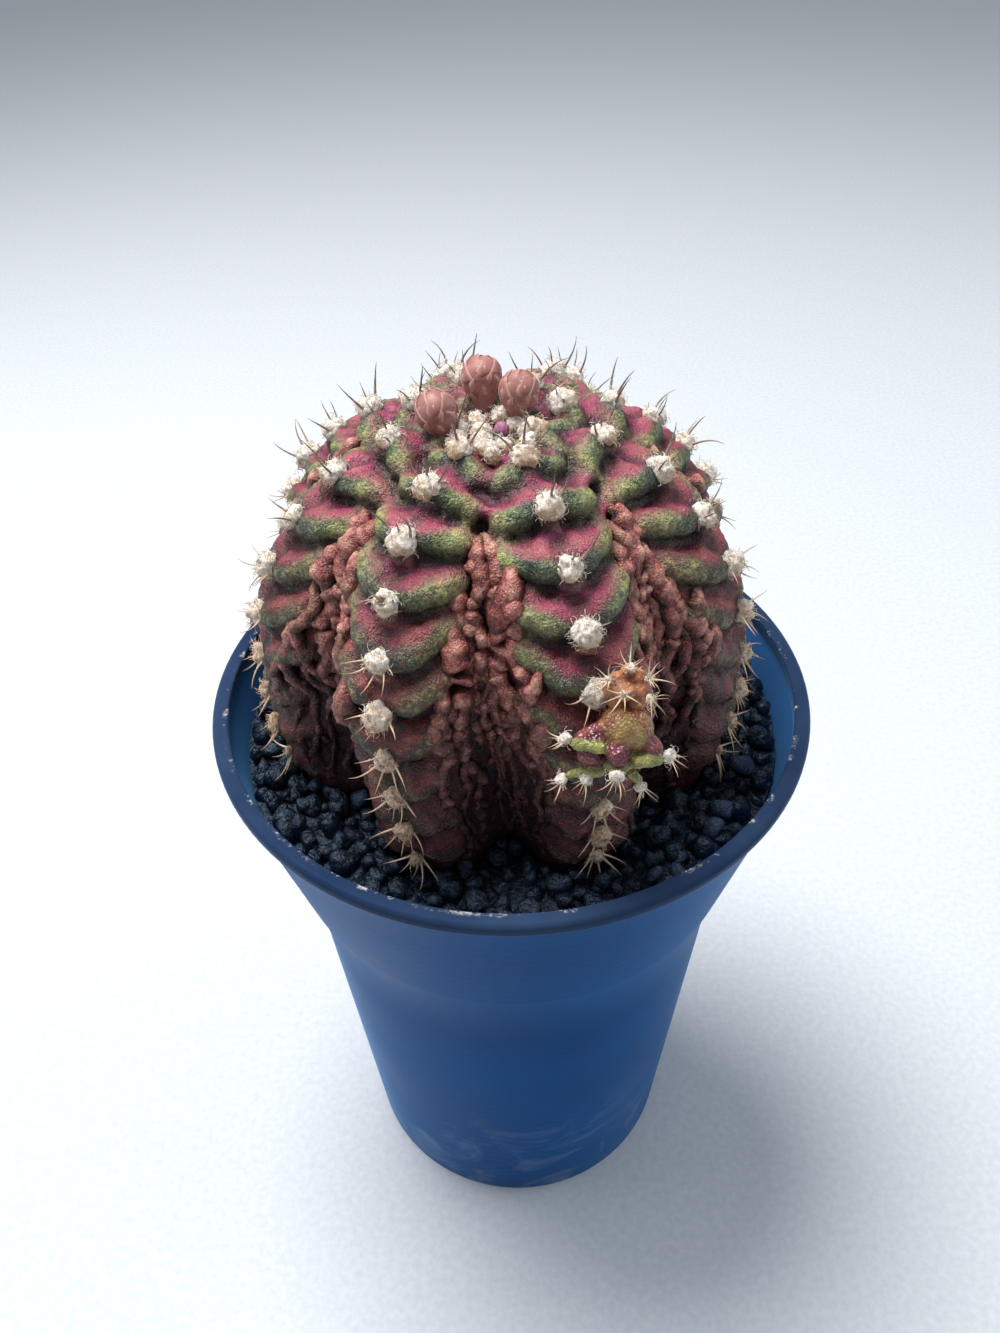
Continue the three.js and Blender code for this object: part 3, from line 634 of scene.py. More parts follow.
def fused(name, bundle, core, **sizes):
    """Fuses a core and a bundle's lines into one skin."""
    holder = put(name + "_lines", bundle.mesh(name + "_lines"))
    piece = grow(name, fuse_flesh, core, Lines=holder, **sizes)
    bpy.data.objects.remove(holder)
    return piece


# %% [markdown]
# ### The core
# The core is a grid of points, drawn by the rule: rows follow the rolls, columns run from crown to
# soil. Between two rolls the skin is a saw tooth in section: it drops into a crease under the upper
# roll, then climbs to the lower one. In the furrows the tooth fades out and makes room for the warts.

# %% The core of the body
ROWS_PER_STEP = 14
COLUMNS_PER_FLANK = 12
TOOTH_PHASES = (0, 0.1, 0.2, 0.34, 0.5, 0.68, 0.86, 1)
TOOTH_LIFTS = (0.8, -0.7, -1.75, -1.35, -0.45, 0.5, 1.2, 0.8)
CREST_LIFTS = (0.3, 0.1, -0.1, -0.1, -0.3, -0.7, 0.1, 0.3)
FIRST_ROW = -0.5
WART_RISE = 1.5
CROWN_RING_SHARES = (0.7, 0.4, 0.15)
BURIED_RINGS = ((86.5, 0.97), (84, 0.93), (82, 0.8))


def wartiness(share, angle, first, width):
    """How much of a point is the warty floor of the furrow."""
    floor_from = first - 0.22 * smooth(62, 95, angle)
    return smooth(floor_from, floor_from + width, share) * smooth(30, 55, angle)


def tooth(row, share, angle):
    phase = np.mod(row, 1)
    flank = np.interp(phase, TOOTH_PHASES, TOOTH_LIFTS)
    crest = np.interp(phase, TOOTH_PHASES, CREST_LIFTS)
    on_crest = 1 - smooth(0.04, 0.2, share)
    furrow = wartiness(share, angle, 0.55, 0.3)
    youth = 0.45 + 0.55 * smooth(-0.5, 1.5, row)
    buried = 1 - smooth(8.4, 9.3, row)
    lift = (flank * (1 - on_crest) + crest * on_crest) * (1 - furrow)
    lift += (WART_RISE * (1 - smooth(66, 98, angle)) - 0.85) * furrow
    return lift * youth * buried


def body_core():
    shares = np.linspace(0, 1, COLUMNS_PER_FLANK + 1)
    columns = []
    for index in range(len(RIBS)):
        columns += [(index, 1, s) for s in shares]
        columns += [((index + 1) % len(RIBS), -1, s) for s in shares[-2:0:-1]]
    rows = np.arange(FIRST_ROW, AREOLES_TO_SOIL + 0.01, 1 / ROWS_PER_STEP)
    grid = np.zeros((len(rows), len(columns), 3))
    marks = {label: np.zeros((len(rows), len(columns))) for label in MARKS}
    for column, (index, side, share) in enumerate(columns):
        _, angle = on_flank(index, side, share, rows)
        grid[:, column], _ = on_flank(index, side, share, rows, tooth(rows, share, angle))
        marks["wart"][:, column] = wartiness(share, angle, 0.58, 0.27)
        marks["phase"][:, column] = np.mod(rows, 1)
        marks["age"][:, column] = np.clip(rows / AREOLES_TO_SOIL, 0, 1)
        marks["along"][:, column] = share
    rings, rows_of_rings = list(grid), list(range(len(rows)))
    centre = on_body(0, 0)
    for share in CROWN_RING_SHARES:
        rings.insert(0, centre + (grid[0] - centre) * share)
        rows_of_rings.insert(0, 0)
    axis = np.array([PLANT_X, 0, 0])
    for height, narrow in BURIED_RINGS:
        ring = axis + (grid[-1] - axis) * narrow
        ring[:, 2] = height
        rings.append(ring)
        rows_of_rings.append(-1)
    points = np.concatenate([[centre]] + rings + [[[PLANT_X, 0, BURIED_RINGS[-1][0]]]])
    laid = {k: np.concatenate([[0], v[rows_of_rings].ravel(), [0]]) for k, v in marks.items()}
    return marked_mesh("core", points, faces=closed_faces(len(rings), len(columns)), marks=laid)


# %% [markdown]
# ### Rolls and chins
# A roll starts on the crest at its areole and runs down both flanks to a blunt end, like a finger. The
# youngest rolls point outwards from the crown, and the older ones climb into the furrow. A chin is
# the short bump right under an areole. Every length and bend is jittered from one seed.

# %% Rolls and chins
body_random = random.Random(41)
ROLL_GIRTH = 1.62
ROLL_LIFT = -0.32
ROLL_POINTS = 17
CHIN_GIRTH = 1.35
CHIN_POINTS = 7


def add_rolls(bundle):
    t = np.linspace(0, 1, ROLL_POINTS)
    for index in range(len(RIBS)):
        for step in range(-1, AREOLES):
            age = max(step, 0) / AREOLES_TO_SOIL
            swell = 0.58 + 0.42 * eased_number(-1.2, 1.2, step)
            swell *= 1 - 0.3 * eased_number(5.5, 9.5, step)
            wobble = body_random.uniform(0, 6.28)
            for side in (-1, 1):
                _, angle = on_flank(index, side, 0.9, float(step))
                reach = 0.95 - 0.29 * eased_number(32, 58, angle) - 0.2 * eased_number(66, 90, angle)
                reach += body_random.uniform(-0.08, 0.05)
                fat = swell * body_random.uniform(0.92, 1.06)
                row = step + 0.05 * np.sin(wobble + 3 * t * side) + 0.14 * (1 - smooth(0, 0.3, t))
                lift = ROLL_LIFT - 0.35 * (1 - smooth(0, 0.25, t)) + 0.12 * np.sin(wobble + 5 * t)
                place, _ = on_flank(index, side, t * reach, row, lift)
                girth = ROLL_GIRTH * fat * (0.84 + 0.16 * smooth(0, 0.4, t))
                girth *= 1 + 0.09 * np.sin(wobble + 7 * t) * (0.6 + age) + 0.05 * np.sin(2 * wobble + 17 * t)
                girth *= rounded(t, 0.001, 0.2)
                bundle.add(place, girth, roll=1.0, along=t, age=age, phase=0.0)


def add_chins(bundle):
    t = np.linspace(0, 1, CHIN_POINTS)
    for index in range(len(RIBS)):
        for step in range(AREOLES - 1):
            size = (0.6 + 0.4 * eased_number(0, 2, step)) * body_random.uniform(0.88, 1.1)
            row = step + 0.24 + 0.36 * t
            lift = -0.75 + 0.4 * np.sin(math.pi * np.clip(t * 0.9 + 0.1, 0, 1))
            place, _ = on_flank(index, 1, 0.0, row, lift)
            girth = CHIN_GIRTH * size * rounded(t, 0.3, 0.45)
            bundle.add(place, girth, chin=1.0, age=step / AREOLES_TO_SOIL)


# %% [markdown]
# ### The skin of the cactus
# The rolls are near black-green beside the areole and turn through leaf green, flecked with lime, to a
# rosy brown at the furrow, and their top sides are rosy too, while their undersides get painted shade.
# The slopes are pink to magenta, with painted shade in the crease under each roll, the warts red-brown,
# and both fade to a mottled, stained dark red near the soil. The fused mesh carries those marks, and a
# height against its surroundings, by which the finish paints shade into the creases and a highlight onto
# the ridges. The frosty grain is bump and pale specks of a quarter of a millimetre; the specks are partly
# frost and partly painted glints, denser on the ridges.

# %% Grain, specks and damp of any living skin
SPECK_AND_GLINT = (228, 214, 204)


def waxy(made, place, colour, amount):
    """Pale specks, a frosty grain and an uneven sheen, on top of a skin's colours. The specks are partly
    frost and partly painted glints, as strong as the amount says.
    """
    grains = cells(place, 0.24)
    fine = noise(place, 0.3, 3, 0.7)
    spots = noise(place, 0.95, 4, 0.7)
    speck_and_glint = stretch(grains, 0.0, 0.36, 1.0, 0.0) * stretch(spots, 0.38, 0.6)
    rough = bump(fine, 0.16, 0.6, Normal=bump(grains, 0.12, 1.0))
    rough = bump(spots, 0.4, 0.7, Normal=rough)
    return dress(made, mix(speck_and_glint * amount, colour, SPECK_AND_GLINT), stretch(fine, 0.3, 0.7, 0.26, 0.54), Normal=rough,
                 Specular_IOR_Level=0.55)


# %% The finish of the flesh
def cactus_finish():
    made, place = finish_tree("cactus_skin")
    roll, wart, chin, along, age = marks_of("roll wart chin along age")
    facing, phase, ridge = marks_of("facing phase ridge")
    patch = noise(place, 3.4, 4, 0.6)
    spots = noise(place, 0.95, 4, 0.7)
    mottle = noise(place, 0.5, 5, 0.75)
    drift = (patch - 0.5) * 0.8 + (spots - 0.5) * 0.45
    travel = along + drift
    green = ramp(travel, (0.0, 18, 30, 34), (0.24, 36, 52, 48), (0.42, 84, 100, 58), (0.6, 142, 152, 88),
                 (0.78, 146, 126, 90), (0.95, 126, 80, 72))
    dull = ramp(travel, (0.0, 38, 44, 36), (0.28, 62, 64, 42), (0.5, 92, 80, 56), (0.8, 92, 54, 48))
    old = stretch(age + drift, 0.2, 0.55)
    flecks = stretch(mottle, 0.5, 0.64, 0.0, 0.6) * stretch(travel, 0.05, 0.4, 0.35, 1.0)
    top = stretch(facing, 0.05, 0.62, 0.0, 0.92) * stretch(along, 0.06, 0.34)
    rolls = coats(mix(old, green, dull),
                  (stretch(age, 0.03, 0.17, 0.6, 0.0), (30, 48, 44)),
                  (flecks, (172, 176, 116)),
                  (top * stretch(spots, 0.36, 0.62, 1.0, 0.3), mix(old, (162, 104, 102), (120, 70, 62))),
                  (stretch(mottle, 0.5, 0.38, 0.0, 0.72), (44, 48, 42)),
                  (stretch(spots, 0.5, 0.66, 0.0, 0.6), (50, 56, 46)))
    # Painted shade: the undersides of the rolls, turned away from the crown, are darkened.
    rolls = mix(stretch(facing, -1.0, -0.3), mix(0.75, rolls, (32, 28, 30)), rolls)
    rise = phase + drift * 0.5
    # The darkest first stop of each slope ramp is painted shade in the crease just under the roll above.
    pink = ramp(rise, (0.1, 46, 12, 30), (0.3, 142, 30, 84), (0.52, 162, 50, 96), (0.74, 154, 80, 94),
                (0.92, 132, 98, 82))
    red = ramp(rise, (0.12, 36, 10, 18), (0.42, 128, 28, 44), (0.74, 132, 56, 56), (0.95, 96, 68, 52))
    slopes = coats(mix(stretch(age + drift, 0.1, 0.45), pink, red),
                   (stretch(patch * 0.5 + spots * 0.5, 0.47, 0.6, 0.0, 0.55), (150, 92, 86)),
                   (stretch(mottle, 0.47, 0.36, 0.0, 0.5), (60, 26, 36)))
    # The warty floor: painted shade in its hollows and a painted highlight on its raised knobs, by the ridge
    # height.
    floors = mix(stretch(ridge, -0.1, 0.35), (58, 24, 28), (120, 64, 60))
    chins = mix(stretch(spots, 0.35, 0.65), (92, 52, 50), (154, 104, 92))
    chins = mix(stretch(age, 0.1, 0.45, 0.85, 0.35), chins, slopes)
    colour = coats(slopes,
                   (wart, floors),
                   (stretch(roll, 0.15, 0.85), rolls),
                   (stretch(chin, 0.35, 0.9), chins))
    # Painted shade in the creases and a painted highlight on the ridges, multiplied over every colour.
    shade = ramp(stretch(ridge, -0.6, 0.45), (0.0, 0.06, 0.04, 0.06, 1), (0.38, 0.34, 0.3, 0.33, 1),
                 (0.6, 0.9, 0.88, 0.88, 1), (1.0, 1.55, 1.5, 1.44, 1))
    low = stretch(age, 0.3, 0.6)
    colour = coats(mix(1.0, colour, shade, "MULTIPLY"),
                   (stretch(patch, 0.54, 0.42, 0.0, 0.8) * low, (34, 24, 22)),
                   (stretch(spots, 0.52, 0.62, 0.0, 0.5) * low, (146, 42, 40)),
                   (stretch(age, 0.5, 0.95, 0.0, 0.6), (38, 22, 20)))
    # The pale specks are denser on the ridges: partly frost and partly painted glints.
    return waxy(made, place, colour, stretch(ridge, -0.2, 0.2, 0.08, 0.45))


cactus_skin = cactus_finish()

# %% Fuse the flesh
flesh = Bundle()
add_rolls(flesh)
add_chins(flesh)
body = fused("cactus_body", flesh, body_core(), Voxel=0.00047, Material=cactus_skin)
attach(body, "root")
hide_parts("cactus")

# %% [markdown]
# ## Strings of warts
# From the shoulder down, the floor of each furrow is packed with knobbly strands, like knotted cords:
# they sprout thin, swell, and run on as strings of beads that thin out below, with short knobs at
# their sides. Some stop short in a fingertip with thinner ones under them. They fan out as the furrow
# widens, so each lane keeps its own width in millimetres and begins where there is room for it. A tree
# sweeps the tubes and makes them lumpy.

# %% Where the strands run
WARTY_ANGLES = (31, 41, 50, 60, 70, 80, 95, 114)
WARTY_SHARES = (0.05, 0.22, 0.33, 0.4, 0.5, 0.6, 0.7, 0.78)
LANES = 10
LANE_WIDTH = 1.55
WART_GIRTH = 1.02
STRAND_STEP = 0.4
WIDEST_ACROSS = 0.8
STOPS_BETWEEN = (48, 84)
strand_random = random.Random(12)
draw = strand_random.uniform


def half_furrow(index, angle):
    """From the middle of the furrow to a crest, round the body, in millimetres."""
    turn = math.radians(neighbour(index, 1)[0] - RIBS[index][0]) / 2
    return turn * BODY_RADIUS * math.sin(math.radians(min(angle, 90)))


def held(across):
    return max(-WIDEST_ACROSS, min(WIDEST_ACROSS, across))


def strand_start(index, offset):
    """The angle where the warty floor is wide enough for a lane."""
    for angle in range(34, 110):
        floor_half = half_furrow(index, angle) * float(np.interp(angle, WARTY_ANGLES, WARTY_SHARES))
        if floor_half > abs(offset) - 0.3:
            return angle
    return 110


class Strand:
    """One string of beads, until it stops."""

    def __init__(self):
        self.line, self.girths, self.beads, self.ages = [], [], [], []

    def lay(self, bundle):
        if len(self.line) > 4:
            t = np.linspace(0, 1, len(self.line))
            blunt = min(0.45, 0.9 / (STRAND_STEP * len(self.line)))
            bundle.add(np.array(self.line), np.array(self.girths) * rounded(t, blunt, blunt),
                       bead=np.array(self.beads), age=np.array(self.ages))


def add_knob(bundle, index, across, angle, lift, girth, age):
    """A short bud of flesh on the side of a strand."""
    t = np.linspace(0, 1, 6)
    out = strand_random.choice((-1, 1)) * draw(0.7, 1.5) / half_furrow(index, angle)
    line = [in_furrow(index, held(across + out * v), angle + 2.4 * v, lift + 0.3 * v) for v in t]
    bundle.add(np.array(line), girth * rounded(t, 0.01, 0.45), bead=1.0, age=age)


def add_strands(bundle, index):
    for lane in range(LANES):
        offset = (lane - (LANES - 1) / 2) * LANE_WIDTH
        angle = strand_start(index, offset) + draw(-2, 3)
        strand, travelled, layer = Strand(), 0.0, 0.3 * (-1) ** lane
        build = draw(0.75, 1.2)
        phases = [draw(0, 6.28) for _ in range(3)]
        pinch, bead, length, side_from, side_to = 0.8, 0.0, draw(2.4, 4.4), 0.0, 0.0
        while angle < SOIL_ANGLE - 1:
            wander = 0.55 * math.sin(angle * 0.19 + phases[0]) + 0.3 * math.sin(angle * 0.45 + phases[1])
            ease = (1 - math.cos(math.pi * bead)) / 2
            across = (offset + wander + side_from + (side_to - side_from) * ease) / half_furrow(index, angle)
            across = held(across)
            swell = max(0.0, math.sin(math.pi * bead)) ** 0.7
            sprout = eased_number(0, 3.5, travelled)
            rise = WART_RISE * (1 - eased_number(66, 98, angle))
            lift = rise - 0.35 + layer + 0.25 * math.sin(angle * 0.3 + phases[2]) - 0.6 * (1 - sprout)
            fat = WART_GIRTH * build * (0.6 + 0.4 * sprout)
            fat *= 1 + 0.42 * math.exp(-((travelled - 4) / 3) ** 2)
            fat *= 1 - 0.4 * eased_number(76, 104, angle)
            age = max(0.0, min(1.0, (angle - 20) / 100))
            strand.line.append(in_furrow(index, across, angle, lift))
            strand.girths.append(fat * (pinch + (1 - pinch) * swell))
            strand.beads.append(swell)
            strand.ages.append(age)
            bead += STRAND_STEP / length
            travelled += STRAND_STEP
            angle += math.degrees(STRAND_STEP / BODY_RADIUS)
            if bead >= 1:
                bead, length, pinch = 0.0, draw(1.2, 3.6), draw(0.6, 0.92)
                side_from, side_to = side_to, draw(-0.6, 0.6)
                if strand_random.random() < 0.45:
                    add_knob(bundle, index, across, angle, lift, 0.8 * fat, age)
                if STOPS_BETWEEN[0] < angle < STOPS_BETWEEN[1] and strand_random.random() < 0.2:
                    strand.lay(bundle)
                    strand, travelled = Strand(), 4.0
                    layer -= draw(0.1, 0.5)
                    angle -= draw(0, 3)
        strand.lay(bundle)


# %% The tree that sweeps the strands
def strand_tree():
    entry = geometry_tree("wart_strings", Sides=12, Lump_Size=0.0013, Lump_Height=0.0008, Knob_Size=0.0014,
                          Knob_Height=0.00055, Heart=(PLANT_X * MM, 0.0, CENTRE_HEIGHT * MM))
    curves = wire("GeometryNodeMeshToCurve", Mesh=entry.Geometry)
    tubes = sweep(curves, number_mark("girth"), entry.Sides)
    outward = vector_maths("NORMALIZE", vector_maths("SUBTRACT", spot(), entry.Heart))
    # How far a tube faces out from the plant, and its knobs. The finish paints shade and highlight by them.
    tubes = store(tubes, "proud", vector_maths("DOT_PRODUCT", normal(), outward))
    tubes = store(tubes, "knob", knobs(entry.Knob_Size))
    swell = lumps(entry.Lump_Size) * entry.Lump_Height + number_mark("knob") * entry.Knob_Height
    return end_tree(shade_smooth(push_out(tubes, swell)), entry)


# %% The finish of the strands
def strand_finish():
    made, place = finish_tree("wart_skin")
    bead, age, proud, knob = marks_of("bead age proud knob")
    patch = noise(place, 3.0, 4, 0.6)
    spots = noise(place, 0.8, 4, 0.7)
    stipple = noise(place, 0.45, 5, 0.8)
    # Painted shade and highlight: bead bellies, knob tops and outward faces come out lighter, the necks and
    # the sides facing other strands darker. Spots add random tone.
    height = bead * 0.25 + proud * 0.5 + stretch(knob, -0.1, 0.3) * 0.25 + (spots - 0.5) * 0.6
    young = ramp(height, (0.16, 30, 8, 14), (0.4, 112, 38, 44), (0.62, 160, 80, 74), (0.88, 224, 166, 146))
    aged = ramp(height, (0.16, 20, 7, 12), (0.4, 84, 26, 32), (0.64, 134, 58, 54), (0.9, 184, 120, 102))
    colour = coats(mix(stretch(age + (patch - 0.5) * 0.9, 0.3, 0.72), young, aged),
                   (stretch(stipple, 0.52, 0.64, 0.0, 0.4), (204, 168, 148)),
                   (stretch(stipple, 0.49, 0.38, 0.0, 0.62), (58, 34, 32)),
                   (stretch(patch, 0.5, 0.66, 0.0, 0.55), (96, 80, 54)),
                   (stretch(age, 0.45, 0.85, 0.0, 0.76), (38, 16, 18)))
    # The pale specks are denser on the outward faces: partly frost and partly painted glints.
    return waxy(made, place, colour, stretch(proud, 0.0, 0.8, 0.0, 0.45))


# %% Lay the strands
sweep_strands = strand_tree()
wart_skin = strand_finish()
for side_name, furrows in (("left", (7, 0, 1, 2)), ("right", (3, 4, 5, 6))):
    warts = Bundle()
    for index in furrows:
        add_strands(warts, index)
    strands = grow("wart_strands_" + side_name, sweep_strands, warts.mesh("wart_lines_" + side_name),
                   Material=wart_skin)
    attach(strands, "root")

# %% [markdown]
# ## Places for wool and spines
# An areole faces outwards on the crest, just under the meeting point of its two rolls. Its frame has
# three directions: outward, down the rib, and round to the side. The pups and the crown get such
# frames too, so that one tree makes all the wool and another all the spines.

# %% Frames of the areoles
HIDDEN_AREOLES = {(4, 5), (4, 6)}
GREEN_PUP = (10.6, -29.6, 115.0)
GREEN_TIPS = [(5.2, -30.8, 115.4), (15.5, -31.6, 113.6), (10.1, -33.9, 113.2), (7.2, -32.4, 111.3),
              (12.8, -33.0, 110.6), (4.9, -32.0, 110.8)]
DRIED_PUP = (11.7, -27.2, 119.0)
DRIED_TIPS = [(9.5, -28.5, 121.2), (11.6, -27.2, 121.4), (13.4, -28.2, 120.9), (10.8, -30.2, 120.8),
              (13.6, -29.2, 119.2)]


def unit(vector):
    return np.asarray(vector, float) / np.linalg.norm(vector)


def areole_frame(index, step):
    rib = RIBS[index]
    azimuth, angle = rib_azimuth(rib, step), areole_angle(rib, step)
    seat = on_body(azimuth, angle)
    down = unit(on_body(azimuth, angle + 1) - on_body(azimuth, angle - 1))
    turn = math.radians(azimuth + 90)
    side = np.array([math.sin(turn), -math.cos(turn), 0])
    return seat, np.cross(down, side), down, side


def areoles():
    """Every areole that isn't hidden behind a pup: its step and its frame."""
    for index in range(len(RIBS)):
        for step in range(AREOLES):
            if (index, step) not in HIDDEN_AREOLES:
                yield step, *areole_frame(index, step)


def tip_frame(tip, heart):
    """The frame of a pup's tip: outward runs from the pup's heart through the tip."""
    outward = unit(np.subtract(tip, heart))
    side = unit(np.cross(outward, (0, 0, -1)))
    return np.array(tip, float), outward, np.cross(side, outward), side


class Places:
    """Points with an outward and a side direction, a size, and marks for the finish."""

    def __init__(self):
        self.points, self.marks = [], {}

    def add(self, point, outward, side, **marks):
        self.points.append(point)
        for label, value in {"outward": outward, "side": side, **marks}.items():
            self.marks.setdefault(label, []).append(value)

    def mesh(self, name):
        print(name, "has", len(self.points), "places")
        return marked_mesh(name, self.points, marks=self.marks)


# %% [markdown]
# ## The wool
# Each areole is a pad of felt, white when young, cream and matted later, and some old ones have lost
# their middle. A pad is a small lumpy dome, and its nap is thousands of short bent fibres that stand
# out of the dome at all angles. Geometry Nodes scatter both, so the pads differ without being drawn.

# %% The tree that makes felt pads
def wool_tree():
    entry = geometry_tree("felt_pads", Lump=0.0011, Crumb=0.00062)
    parts = wire("ShaderNodeSeparateXYZ", spot())
    away = vector_maths("LENGTH", wire("ShaderNodeCombineXYZ", parts, parts.out("Y")))
    sunk = wire("ShaderNodeMapRange", Value=away, From_Min=0.0, From_Max=0.5, To_Min=-0.85, To_Max=0.0,
                interpolation_type="SMOOTHSTEP")
    size = number_mark("size")
    ball = wire("GeometryNodeMeshIcoSphere", Radius=1.0, Subdivisions=4)
    ball = store(ball, "centre_dip", sunk * (parts.out("Z") > 0.0))
    pads = wire("GeometryNodeInstanceOnPoints", Points=entry.Geometry, Instance=ball,
                Rotation=standing("X"), Scale=wire("ShaderNodeCombineXYZ", size, size, size * 0.95))
    pads = wire("GeometryNodeRealizeInstances", Geometry=pads)
    hollow = number_mark("centre_dip") * (number_mark("worn") * size)
    pads = push_out(pads, hollow, vector_mark("outward"))
    lump = wire("ShaderNodeTexNoise", Vector=spot(), Scale=900.0, Detail=1.0, Roughness=0.5)
    crumb = wire("ShaderNodeTexNoise", Vector=spot(), Scale=2400.0, Detail=3.0, Roughness=0.65)
    pads = shade_smooth(push_out(pads, (lump - 0.5) * entry.Lump + (crumb - 0.5) * entry.Crumb))
    down = vector_maths("CROSS_PRODUCT", vector_mark("side"), vector_mark("outward"))
    # How far each point of a pad faces down the rib, for the painted shade on the pads' undersides.
    return end_tree(store(pads, "low", vector_maths("DOT_PRODUCT", normal(), down)), entry)


# %% The tree that grows the nap on the pads
def nap_tree():
    entry = geometry_tree("felt_nap", Seed=3, Fibres_per_mm2=5.0, Fibre_Length=0.0006, Fibre_Girth=0.00003)
    out = vector_maths("DOT_PRODUCT", normal(), vector_mark("outward"))
    roots = wire("GeometryNodeDistributePointsOnFaces", Mesh=entry.Geometry, Selection=out > -0.35,
                 Density=entry.Fibres_per_mm2 * 1e6, Seed=entry.Seed, distribute_method="RANDOM")
    path = wire("GeometryNodeCurvePrimitiveBezierSegment", Resolution=3, Start=(0, 0, 0),
                Start_Handle=(0, 0, 0.4), End_Handle=(0.4, 0, 0.7), End=(0.9, 0, 0.55))
    fibre = sweep(path, entry.Fibre_Girth / entry.Fibre_Length, 3)
    lean = random_value((-0.9, -0.9, -3.14), (0.9, 0.9, 3.14), entry.Seed, "FLOAT_VECTOR")
    lean = wire("FunctionNodeEulerToRotation", Euler=lean)
    bent = wire("FunctionNodeRotateRotation", Rotation=roots.out("Rotation"), Rotate_By=lean,
                rotation_space="LOCAL")
    length = random_value(0.5, 1.4, entry.Seed, "FLOAT") * entry.Fibre_Length
    nap = wire("GeometryNodeInstanceOnPoints", Points=roots, Instance=fibre, Rotation=bent, Scale=length)
    return end_tree(nap, entry)


# %% The finish of the wool
def wool_finish():
    made, place = finish_tree("felt_wool")
    age, low = marks_of("age low")
    fluff = noise(place, 0.38, 5, 0.75)
    matted = noise(place, 1.4, 3, 0.6)
    fresh = mix(stretch(fluff, 0.36, 0.56), (198, 170, 142), (250, 247, 240))
    old = mix(stretch(fluff, 0.36, 0.6), (158, 112, 80), (244, 218, 188))
    colour = mix(stretch(age + (matted - 0.5), 0.34, 0.8), fresh, old)
    # Painted shade: the undersides of the pads turn tan-cream.
    colour = mix(stretch(low, -0.1, 0.9, 0.0, 0.72), colour, (212, 176, 134))
    return dress(made, colour, stretch(fluff, 0.2, 0.8, 0.8, 1.0), Normal=bump(fluff, 0.3, 0.8),
                 Specular_IOR_Level=0.15)


# %% Lay out the wool
wool_random = random.Random(7)
PAD_SIZE = 1.5
# Each tuft of the crown: its azimuth, its angle and its size.
CROWN_TUFTS = ((-85, 3.5, 1.3), (-30, 7, 1.3), (-12, 11, 1.15), (-4, 14.5, 0.9), (75, 7, 1.2),
               (115, 4.5, 1.2), (170, 6, 1.2), (-130, 6, 1.1), (42, 10, 1.0), (-52, 11, 1.0), (10, 8.5, 0.9))
CROWN_FACING = (0, -0.5, 0.85)
wool_places = Places()
for step, seat, outward, down, side in areoles():
    size = PAD_SIZE * (1 if step <= AREOLES / 2 else 0.8) * (0.62 if step == AREOLES - 1 else 1)
    size *= wool_random.uniform(0.88, 1.08)
    worn = 1.0 if step >= 3 and wool_random.random() < 0.5 else 0.0
    place = seat + outward * 0.55 * size + down * 0.1
    wool_places.add(place, outward, side, size=size * MM, worn=worn, age=step / AREOLES_TO_SOIL)
for azimuth, angle, size in CROWN_TUFTS:
    place = on_body(azimuth, angle, 0.5)
    wool_places.add(place, CROWN_FACING, (1, 0, 0), size=size * MM, worn=0.0, age=0.0)
for tips, heart, proud, size, age in ((GREEN_TIPS, GREEN_PUP, 0.0, 0.62, 0.25),
                                      (DRIED_TIPS, DRIED_PUP, 0.1, 0.4, 0.5)):
    for tip in tips:
        point, outward, _, side = tip_frame(tip, heart)
        wool_places.add(point + outward * proud, outward, side, size=size * MM, worn=0.0, age=age)
felt_wool = wool_finish()
wool = grow("areole_wool", wool_tree(), wool_places.mesh("wool_places"), Material=felt_wool)
nap = grow("wool_nap", nap_tree(), wool.data.copy(), Material=felt_wool)
for piece in (wool, nap):
    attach(piece, "root")

# %% [markdown]
# ## The spines
# Young spines are dark and thin and rise a little. Old ones are tan to bone white, stouter at the foot
# and drooping. A spine is a curve that bends to one side, swept by a small five-sided ring that tapers
# to a point. Three such shapes, turned and sized on their places, are enough for a natural mix.

# %% The tree that stands spines on their places
def spine_tree():
    entry = geometry_tree("spines", Seed=5, Girth=0.046, Sides=5, Bend=0.16)
    shapes = []
    for bend in (0.3, 1.0, 1.8):
        tip = wire("ShaderNodeCombineXYZ", X=entry.Bend * bend, Z=1.0)
        path = wire("GeometryNodeCurvePrimitiveBezierSegment", Resolution=6, Start=(0, 0, 0),
                    Start_Handle=(0, 0, 0.35), End_Handle=(0, 0, 0.75), End=tip)
        reach = wire("GeometryNodeSplineParameter")
        thick = (1.02 - reach) ** 0.6 * entry.Girth
        shapes.append(sweep(store(path, "reach", reach), thick, entry.Sides))
    stood = wire("GeometryNodeInstanceOnPoints", Points=entry.Geometry, Pick_Instance=True,
                 Instance=gather("GeometryNodeGeometryToInstance", shapes),
                 Instance_Index=random_value(0, len(shapes) - 1, entry.Seed, "INT"),
                 Rotation=standing("X"), Scale=number_mark("size"))
    return end_tree(shade_smooth(wire("GeometryNodeRealizeInstances", Geometry=stood)), entry)


# %% The finish of the spines
def spine_finish():
    made, place = finish_tree("spine_horn")
    age, reach = marks_of("age reach")
    streak = noise(place, 0.35, 3, 0.6)
    young = ramp(reach, (0.0, 190, 146, 116), (0.4, 124, 90, 74), (0.75, 62, 48, 50), (1.0, 32, 28, 36))
    old = ramp(reach, (0.0, 236, 222, 200), (0.55, 212, 178, 142), (1.0, 150, 96, 66))
    colour = mix(stretch(age, 0.25, 0.45), young, old)
    colour = mix(stretch(streak, 0.35, 0.7, 0.0, 0.35), colour, (240, 226, 206))
    return dress(made, colour, stretch(streak, 0.3, 0.7, 0.4, 0.6), Normal=bump(streak, 0.04, 0.6))


# %% Lay out the spines
spine_random = random.Random(23)
SPINE_LENGTH = 4.4
RIM_REACH = 37.2
OVER_THE_RIM = 97
spine_places = Places()


def add_spine(point, direction, length, age):
    direction = unit(direction)
    side = unit(np.cross(direction, (spine_random.uniform(-1, 1), spine_random.uniform(-1, 1), 0.3)))
    spine_places.add(point, direction, side, size=length * MM, age=age)


